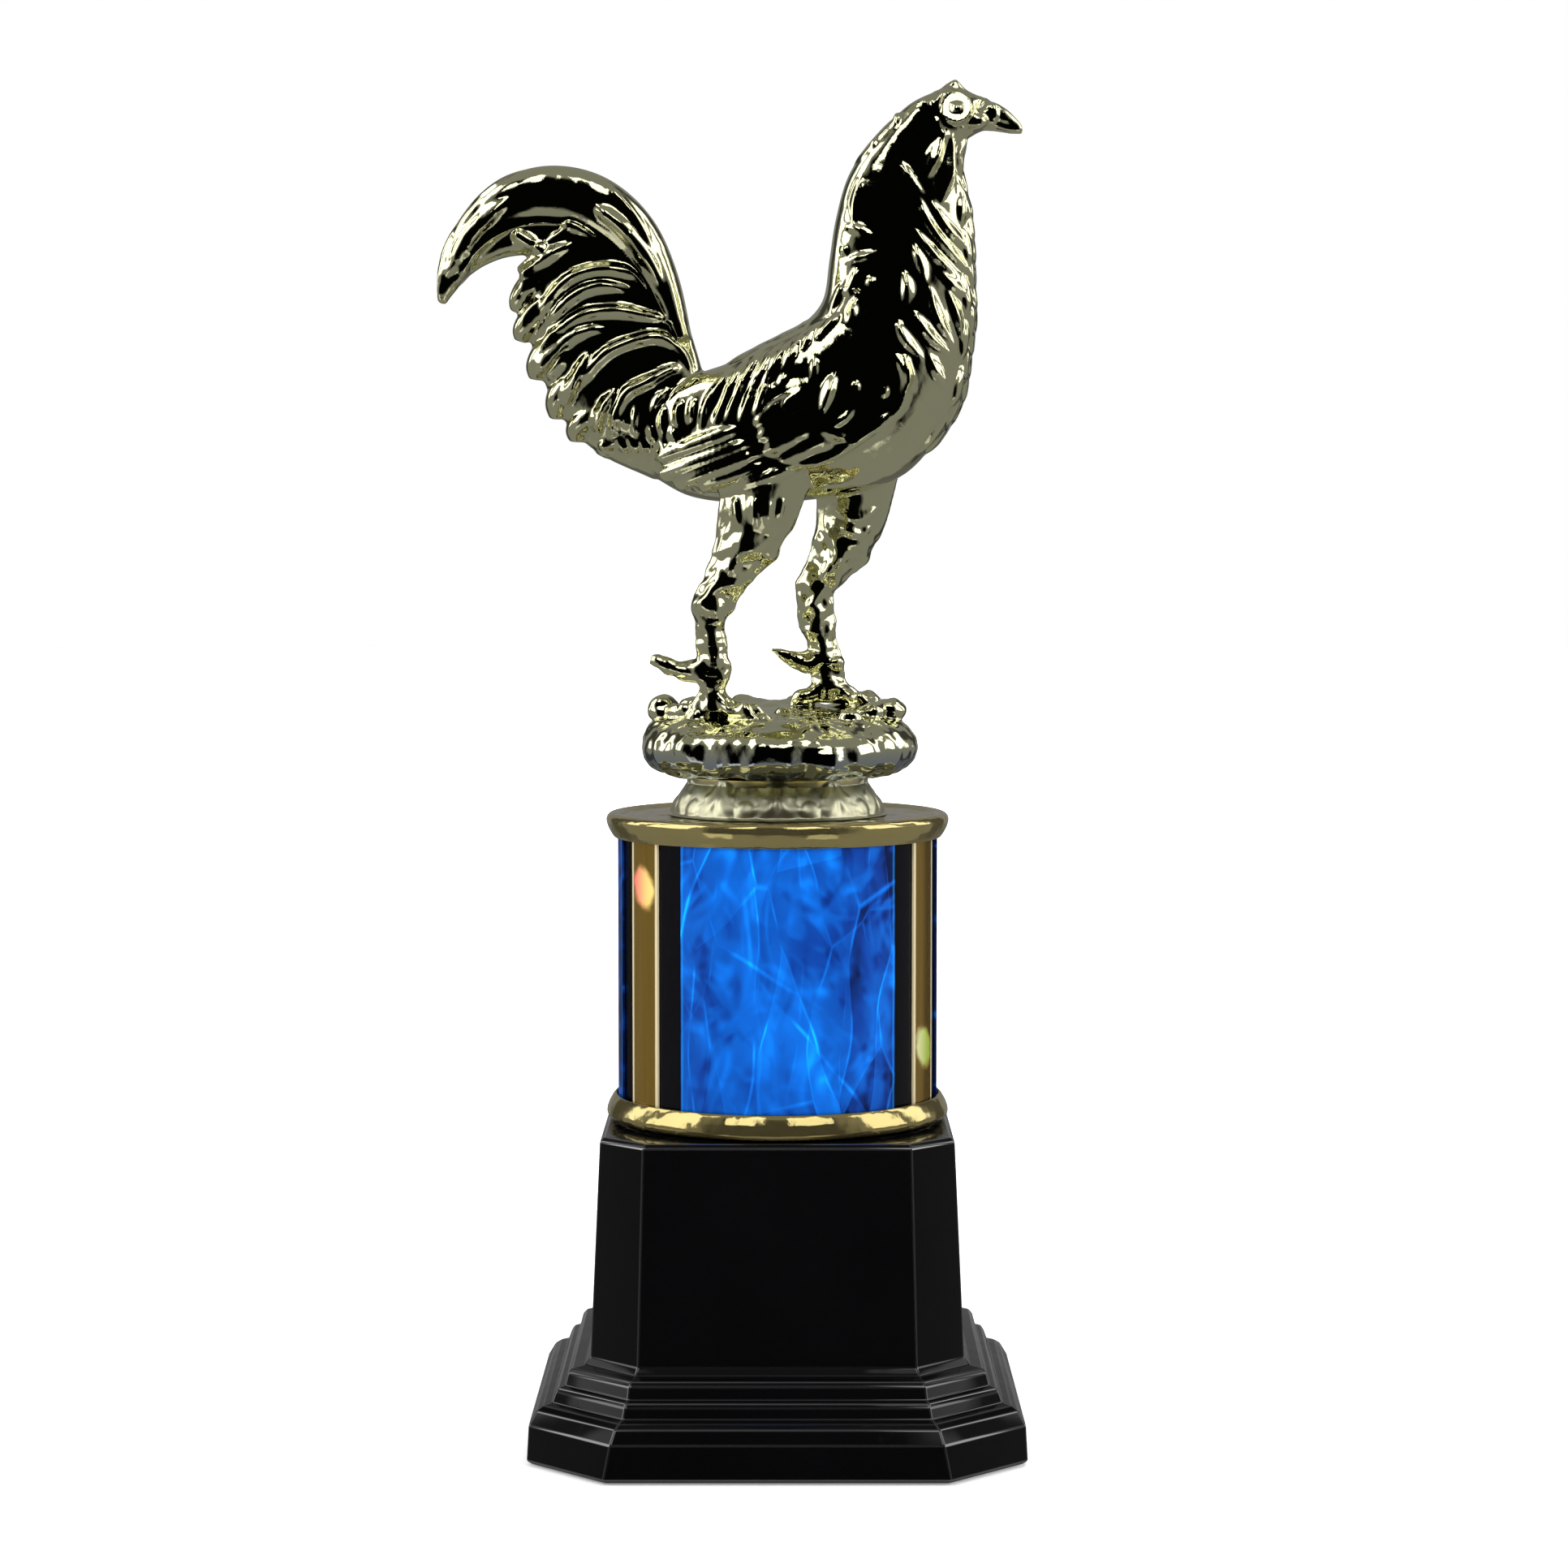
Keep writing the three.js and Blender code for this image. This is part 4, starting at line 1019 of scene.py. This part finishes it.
def build_base(gloss, felt):
    outside = [corner_ring(half, cut, z) for z, half, cut in rounded_path(BASE_LEVELS, 0.28)]
    inside = [corner_ring(half, cut, z) for z, half, cut in BASE_INSIDE]
    hole = outside[-1].copy()
    hole[:, :2] *= ROD_HOLE_R / np.linalg.norm(hole[:, :2], axis=1)[:, None]
    hole_low = hole.copy()
    hole_low[:, 2] = BASE_INSIDE[0][0]
    rings = np.array([*outside, hole, hole_low, *inside])
    piece = ring_piece("base", rings, True, "base_shell", gloss, sharp=50)
    around = FACET_EDGE * (np.arange(rings.shape[1]) % 4 % 3 > 0)
    crowns = np.zeros(rings.shape[:2])
    crowns[: len(outside)] = np.maximum(edge_shares(BASE_LEVELS)[:, None], around)
    piece.data.attributes.new("edge", "FLOAT", "POINT").data.foreach_set("value", crowns.ravel())

    half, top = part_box("base_pad")[1].x / MM, heights("base_pad")[1]
    levels = rounded_path([(0, half - 0.4, PAD_CUT), (0.25, half, PAD_CUT), (top, half, PAD_CUT)], 0.2)
    rings = [corner_ring(half, cut, z, radius=1.2) for z, half, cut in levels]
    ring_piece("pad", rings, False, "base_pad", felt, sharp=40)


# ---------------------------------------------------------------- column
COLLAR_PROFILE = [  # radius, height above the open end
    (25.75, 0), (26.0, 0), (26.4, 0.5), (26.95, 1.5), (27.25, 2.4), (27.28, 3.0), (27.0, 3.55), (26.5, 3.85),
    (25.9, 3.9), (25.3, 3.85), (24.9, 3.55), (24.4, 3.5), (3.6, 3.5), (3.5, 3.4), (3.5, 1.9), (25.75, 1.9),
]
TURNED_SIDES = 192
TUBE_WALL = 2.4
TUBE_BEVEL = 0.15
FILM_R = 25.45
FILM_THICK = 0.35
FILM_BEVEL = 0.06
PANEL_TURN = 4.9
PANEL_ARC = 81.6
STRIP_ARC = 16.2


def build_collars(brass):
    for name, closed_up in (("lower_collar", False), ("top_collar", True)):
        low, high = heights(name)
        radii, lifts = rounded_path(COLLAR_PROFILE, 0.25, 3).T
        rings = turned_rings(zip(radii, low + lifts if closed_up else high - lifts), TURNED_SIDES)
        ring_piece(name + "_rim", rings, True, name, brass, sharp=50)


def build_tube(black):
    low, high = heights("column_tube")
    outer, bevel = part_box("column_tube")[1].x / MM, TUBE_BEVEL
    inner = outer - TUBE_WALL
    profile = [
        (outer, low + bevel), (outer, high - bevel), (outer - bevel, high), (inner + bevel, high),
        (inner, high - bevel), (inner, low + bevel), (inner + bevel, low), (outer - bevel, low),
    ]
    rings = turned_rings(profile, TURNED_SIDES)
    ring_piece("tube", rings, True, "column_tube", black, sharp=30)


def build_film(name, node, middle, arc, material):
    """A film on the tube. Its UV is the distance round the column and up it, in millimetres."""
    low, high = heights(node)
    offsets = np.linspace(-arc / 2, arc / 2, int(arc) + 1)
    inner, rim = FILM_R - FILM_THICK, FILM_R - FILM_BEVEL
    profile = [
        (inner, high), (rim, high), (FILM_R, high - FILM_BEVEL),
        (FILM_R, low + FILM_BEVEL), (rim, low), (inner, low),
    ]
    rings = [[(r * np.sin(a), -r * np.cos(a), z) for r, z in profile] for a in np.radians(middle + offsets)]
    mesh = ring_piece(name, rings, False, node, material, sharp=30).data
    across = FILM_R * np.radians(offsets)
    layer = mesh.uv_layers.new(name="film")
    for loop in mesh.loops:
        i, k = divmod(loop.vertex_index, len(profile))
        layer.data[loop.index].uv = (across[i], profile[k][1] - low)


def build_films(blues, gilts):
    for i in range(3):
        turn = 120 * i + PANEL_TURN
        build_film(f"blue_film_{i + 1}", f"blue_panel_{i + 1}", turn, PANEL_ARC, blues[i])
        build_film(f"gilt_film_{i + 1}", f"gilt_strip_{i + 1}", turn + 60, STRIP_ARC, gilts[i])


# ---------------------------------------------------------------- riser
RISER_R = 17.5
RISER_NECK_R = 14.6
RISER_WALL = 2
RISER_SIDES = 360
RISER_LEVELS = 40
RISER_CURVE = 1.2
LEAVES = 10
LEAF_SINK = 0.75  # how deep the ground between the leaves lies


def leaf_relief(turn, rise):
    """How far the riser's leaves stand out: turn is in radians, rise is the share of its height."""
    place = (turn + math.pi / 2) / (2 * math.pi) * LEAVES
    across = np.abs(place - np.round(place)) * 2
    width = 0.88 * np.clip(1.04 - rise, 0, 1) ** 0.5 * (0.92 + 0.08 * np.cos(7 * math.pi * rise))
    leaf = np.clip(1 - (across / np.maximum(width, 0.02)) ** 2, 0, 1) ** 0.8
    lobes = 0.5 + 0.5 * np.cos(2 * math.pi * (across * 1.6 + rise * 1.9))
    vein = np.exp(-((across / 0.09) ** 2))
    between = place + 0.5
    off = np.abs(between - np.round(between)) * 2
    bud = np.clip(1 - (off / 0.34) ** 2 - ((rise - 0.2) / 0.3) ** 2, 0, 1) ** 0.8
    return 0.42 * leaf * (0.72 + 0.28 * lobes) - 0.12 * vein * leaf + 0.36 * bud


def build_riser(gilt):
    low, high = heights("riser")
    profile = []
    for rise in np.linspace(0, 1, RISER_LEVELS):
        radius = RISER_NECK_R + (RISER_R - RISER_NECK_R) * math.cos(rise * math.pi / 2) ** RISER_CURVE
        band = min(1, (1 - rise) / 0.16, rise / 0.06)
        r = radius - LEAF_SINK * band + leaf_relief(round_angles(RISER_SIDES), rise) * band
        profile.append((np.minimum(r, RISER_R - 0.02), low + (high - low) * rise))
    ceiling, inner = high - RISER_WALL, RISER_NECK_R - RISER_WALL - 0.8
    profile += [(ROD_HOLE_R, high), (ROD_HOLE_R, ceiling), (inner, ceiling), (RISER_R - RISER_WALL, low)]
    rings = turned_rings(profile, RISER_SIDES)
    ring_piece("riser_leaves", rings, True, "riser", gilt, sharp=60)


# ---------------------------------------------------------------- materials
# painted shade at the foot of the figure: a darker, cooler tone
FOOT_SHADE_TONE = (0.40, 0.46, 0.52)
# painted highlight: the lighter black of the base's edges
EDGE_HIGHLIGHT_BLACK = (0.018, 0.018, 0.019)
BLUES = [  # how light the foil is, and its colour there
    (0.0, (0.0, 0.006, 0.05)), (0.14, (0.0, 0.032, 0.23)), (0.26, (0.0, 0.062, 0.34)),
    (0.44, (0.0, 0.098, 0.49)), (0.62, (0.0, 0.155, 0.66)), (0.82, (0.0, 0.32, 0.86)), (1.0, (0.01, 0.60, 1.0)),
]
# painted highlights along the films' borders
BORDER_HIGHLIGHT_BLUE = (0.0, 0.30, 0.85)
BORDER_HIGHLIGHT_GILT = (0.92, 0.82, 0.55)


def plated(name, pale, hollow_shade, rough, metal=1.0, shaded=None):
    """Vacuum plating over moulded plastic, with faint waviness and handling haze, and painted shade in the
    hollows.

    Between the two heights of shaded (low, high, in millimetres) it turns from a darker, cooler painted shade
    below to its own tone.
    """
    n = Surface(name)
    at = n.place()
    hollow = n.span(n.make("NewGeometry")["Pointiness"], 0.42, 0.56)
    # painted shade: in the hollows, where pointiness is low, the tone turns to the darker second colour
    base = n.mix(hollow * n.span(n.noise(at, 0.16, 3), 0.3, 0.7, 0.85, 1), hollow_shade, pale)
    if shaded:
        # painted shade: below the lower height the tone turns darker and cooler
        base = n.mix(n.span(n.axes(at)[2], *shaded), FOOT_SHADE_TONE, base)
    haze = n.span(n.noise(at, 0.35, 4, 0.6), 0.45, 0.75, rough, rough + 0.04)
    wave = n.noise(at, 0.28, 1) + n.noise(at, 1.9, 2) * 0.05
    return n.finish({"Metallic": metal, "Base Color": base, "Roughness": haze}, wave, 0.00022)


def glossy_black():
    """Injection-moulded black plastic with faint scuffs, and a painted highlight on its edges: they are
    brighter and carry more coat.
    """
    n = Surface("black_gloss")
    at = n.place()
    black = n.mix(n.noise(at, 0.05, 3), (0.0012, 0.0012, 0.0014), (0.0022, 0.0022, 0.0025))
    edge_highlight = n.make("Attribute", attribute_name="edge")["Fac"]
    # painted highlight: along the edges the base colour turns lighter
    return n.finish({
        "Base Color": n.mix(edge_highlight, black, EDGE_HIGHLIGHT_BLACK), "Coat Weight": edge_highlight * 0.85, "Coat IOR": 3.0,
        "Roughness": n.span(n.noise(at, 0.6, 5, 0.65), 0.55, 0.8, 0.07, 0.2), "Specular IOR Level": 0.15,
    }, n.noise(at, 0.12, 1), 0.00012)


def black_film():
    n = Surface("black_film")
    at = n.place()
    return n.finish({
        "Base Color": n.mix(n.noise(at, 0.2, 2), (0.001, 0.001, 0.002), (0.002, 0.002, 0.003)),
        "Roughness": n.span(n.noise(at, 0.9, 3), 0.4, 0.7, 0.12, 0.24), "Specular IOR Level": 0.18,
    })


def crinkled_blue(name, seed, side_shade):
    """Pearl foil: soft facets with painted shading, thin painted highlights along the creases, curved streaks,
    dark smudges, a painted highlight along the border, painted shade towards the sides and a faint painted
    glow.
    """
    n = Surface(name)
    uv = n.make("UVMap", uv_map="film")
    offset = n.shifted(uv, (seed * 37.0, seed * 53.0, 0))

    def moved_by(shift):
        return n.shifted(offset, (shift, shift * 0.7, 0))

    def bent(at, reach, scale):
        sway = n.make("TexNoise", {"Vector": at, "Scale": scale, "Detail": 0.0})["Color"]
        return n.shifted(at, n.scaled(sway, reach))

    def spun(at, turn, stretch):
        return n.make("Mapping", {"Vector": at, "Rotation": (0, 0, turn), "Scale": stretch})

    def creases(turn, scale, stretch, shift, facet_shade, gleam):
        """Facets with painted shading: a soft painted glow on one side of each edge, and a thin painted
        highlight along parts of the edges.
        """
        moved = moved_by(shift)
        at = spun(bent(moved, 4.5, 0.06), turn, (1, stretch, 1))
        sockets = {"Vector": at, "Scale": scale, "Randomness": 1.0}
        cell = n.make("TexVoronoi", sockets, voronoi_dimensions="2D")
        gap = n.make("TexVoronoi", sockets, voronoi_dimensions="2D", feature="DISTANCE_TO_EDGE")["Distance"]
        # painted shading: each facet lighter or darker, most near its edges
        glow = (n.axes(cell["Color"])[0] - 0.45) * n.span(gap, 0.0, 0.30, 1, 0.15)
        shown = n.span(n.noise(n.shifted(moved, (61, 17, 0)), 0.11, 1.0), 0.42, 0.62)
        # painted highlight: thin bright lines along parts of the crease edges
        line = n.span(gap, 0.0, 0.28 * scale, 1, 0) * shown
        return glow * facet_shade + line * gleam

    def streaks(turn, shift, fine, low, high, gleam):
        """Soft streaks along one direction, gently curved."""
        at = spun(bent(moved_by(shift), 11.0, 0.05), turn, (fine, 0.05, 1))
        return n.span(n.noise(at, 1.0, 1.0), low, high) * gleam

    across = n.axes(uv)[0]
    reach = FILM_R * math.radians(PANEL_ARC / 2)
    middle = 1.0 - n.math("POWER", across / reach, 2.0)
    # painted shade: the foil turns darker towards the panel's sides, as far as the third argument sets
    light = (middle - 0.65) * side_shade + n.span(n.noise(offset, 0.07, 3), 0.25, 0.75, 0.08, 0.28)
    layers = [
        creases(0.6, 0.062, 0.34, 3, 0.46, 0.36), creases(-0.55, 0.075, 0.40, 19, 0.32, 0.32),
        creases(1.25, 0.075, 0.50, 41, 0.24, 0.24), creases(0.05, 0.12, 0.20, 67, 0.12, 0.12),
        streaks(0.55, 7, 0.24, 0.44, 0.84, 0.34), streaks(-0.3, 31, 0.22, 0.48, 0.86, 0.22),
        streaks(0.7, 83, 0.26, 0.52, 0.84, -0.15), streaks(-0.6, 97, 0.30, 0.54, 0.84, -0.14),
    ]
    for layer in layers:
        light += layer
    ramp = n.make("ValToRGB", {"Fac": light})
    stops = ramp.socket.node.color_ramp.elements
    for strength, _ in BLUES[1:-1]:
        stops.new(strength)
    for stop, (_, colour) in zip(stops, BLUES):
        stop.color = (*colour, 1)
    side_gap = reach - n.math("ABSOLUTE", across)
    # painted highlight: a lighter blue band along the panel's sides
    border_highlight = n.span(side_gap, 0.05, 0.2) * n.span(side_gap, 0.35, 0.6, 1, 0)
    base = n.mix(border_highlight * 0.3, ramp, BORDER_HIGHLIGHT_BLUE)
    # painted glow: the foil gives off a little light of its own colour, though it is no lamp
    return n.finish({
        "Base Color": base, "Emission Color": base, "Emission Strength": 0.06, "Specular IOR Level": 0.08,
        "Roughness": n.span(light, 0.2, 0.9, 0.40, 0.26), "Coat Weight": 0.15, "Coat Roughness": 0.05,
    }, light, 0.00003, 0.4)


def foil_gold(name, glow_at, near, far):
    """Mirror gold strip with pale borders painted as highlights, drawn lines along its length and one painted
    highlight patch with rainbow tints.
    """
    n = Surface(name)
    uv = n.make("UVMap", uv_map="film")
    axes = n.axes(uv)
    line = n.noise(n.make("VectorMath", {0: uv, 1: (1.4, 0.03, 1)}, operation="MULTIPLY"), 1.0, 2)
    reach = FILM_R * math.radians(STRIP_ARC / 2)
    side_gap = reach - n.math("ABSOLUTE", axes[0])
    # painted highlight: the strip's borders turn pale and less metallic
    border_highlight = n.span(side_gap, 0.45, 0.75, 1, 0)
    base = n.mix(border_highlight * 0.8, n.mix(line, (0.34, 0.20, 0.025), (0.50, 0.33, 0.07)), BORDER_HIGHLIGHT_GILT)
    # painted highlight: a ragged patch near height glow_at, tinted from one colour to the other across the
    # strip
    rise = (axes[1] - glow_at) / 3.6
    aside = (axes[0] + rise * 0.8) / 3.2
    ragged = n.math("SQRT", rise * rise + aside * aside) + n.noise(uv, 0.35, 2) * 0.5
    glow = n.span(ragged, 0.85, 1.35, 1, 0) * n.span(side_gap, 0.3, 0.7)
    hue = n.mix(n.span(axes[0], -reach, reach * 0.8), near, far)
    return n.finish({
        "Base Color": n.mix(glow, base, hue), "Metallic": 0.92 - n.math("MAXIMUM", glow * 0.75, border_highlight * 0.5),
        "Roughness": n.span(line, 0.3, 0.7, 0.10, 0.2),
    })


def fibrous(name, scale, detail, dark, light, rough, sheen, distance):
    n = Surface(name)
    fibre = n.noise(n.place(), scale, detail, 0.7)
    sockets = {"Base Color": n.mix(fibre, dark, light), "Roughness": rough, "Sheen Weight": sheen}
    return n.finish(sockets, fibre, distance)


def cast_iron():
    n = Surface("cast_weight")
    at = n.place()
    pits = n.noise(at, 0.9, 5, 0.7)
    rust = n.span(n.noise(at, 0.12, 3), 0.55, 0.7)
    grey = n.mix(pits, (0.018, 0.018, 0.019), (0.055, 0.055, 0.058))
    return n.finish({
        "Base Color": n.mix(rust * 0.5, grey, (0.09, 0.04, 0.02)), "Metallic": 0.6,
        "Roughness": n.span(pits, 0.3, 0.7, 0.55, 0.8),
    }, pits, 0.0003)


def zinc_steel():
    """Zinc-plated steel. Fine rings run round the fasteners' axis, as a thread does."""
    n = Surface("zinc_steel")
    at = n.place()
    rings = n.make("TexWave", {"Vector": at, "Scale": 0.25}, bands_direction="Z")["Fac"]
    return n.finish({
        "Base Color": n.mix(n.noise(at, 0.5, 3), (0.42, 0.44, 0.45), (0.62, 0.63, 0.62)), "Metallic": 1,
        "Roughness": n.span(n.noise(at, 2.0, 4), 0.3, 0.7, 0.25, 0.45),
    }, rings, 0.0003)


def dress_hidden_nodes():
    """The pieces inside keep their CAD shapes and get their own materials."""
    steel, iron = zinc_steel(), cast_iron()
    board = fibrous("fibreboard", 1.6, 5, (0.17, 0.10, 0.05), (0.33, 0.22, 0.12), 0.9, 0, 0.0003)
    looks = {
        "base_weight": iron, "base_washer": steel, "base_lock_washer": steel, "base_nut": steel,
        "threaded_rod": steel, "insert_nut": steel, "lower_plug": board, "upper_plug": board,
    }
    for name, material in looks.items():
        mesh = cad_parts[name].data
        mesh.materials.clear()
        mesh.materials.append(material)


# ---------------------------------------------------------------- assembly
bpy.context.scene.view_settings.view_transform = "Standard"
make_camera()
make_world()
make_floor()
make_lights()

build_figure(plated("figure_gilt", (0.83, 0.815, 0.51), (0.66, 0.65, 0.42), 0.03, shaded=(106.5, 111.5)))
build_riser(plated("riser_gilt", (0.74, 0.72, 0.48), (0.50, 0.49, 0.36), 0.34))
build_collars(plated("collar_gilt", (0.62, 0.53, 0.24), (0.38, 0.30, 0.10), 0.07, metal=0.94))
build_tube(black_film())
build_films(
    [crinkled_blue(f"blue_foil_{i + 1}", i + 1, side_shade) for i, side_shade in enumerate((0.12, 0.42, 0.42))],
    [
        foil_gold("gilt_foil_1", 10, (0.60, 0.62, 0.30), (0.30, 0.42, 0.03)),
        foil_gold("gilt_foil_2", 30, (0.85, 0.36, 0.24), (0.95, 0.75, 0.25)),
        foil_gold("gilt_foil_3", 35.5, (0.95, 0.16, 0.16), (1.0, 0.72, 0.20)),
    ],
)
build_base(
    glossy_black(), fibrous("felt", 3.5, 4, (0.004, 0.005, 0.005), (0.014, 0.015, 0.014), 0.95, 0.3, 0.0002)
)
dress_hidden_nodes()
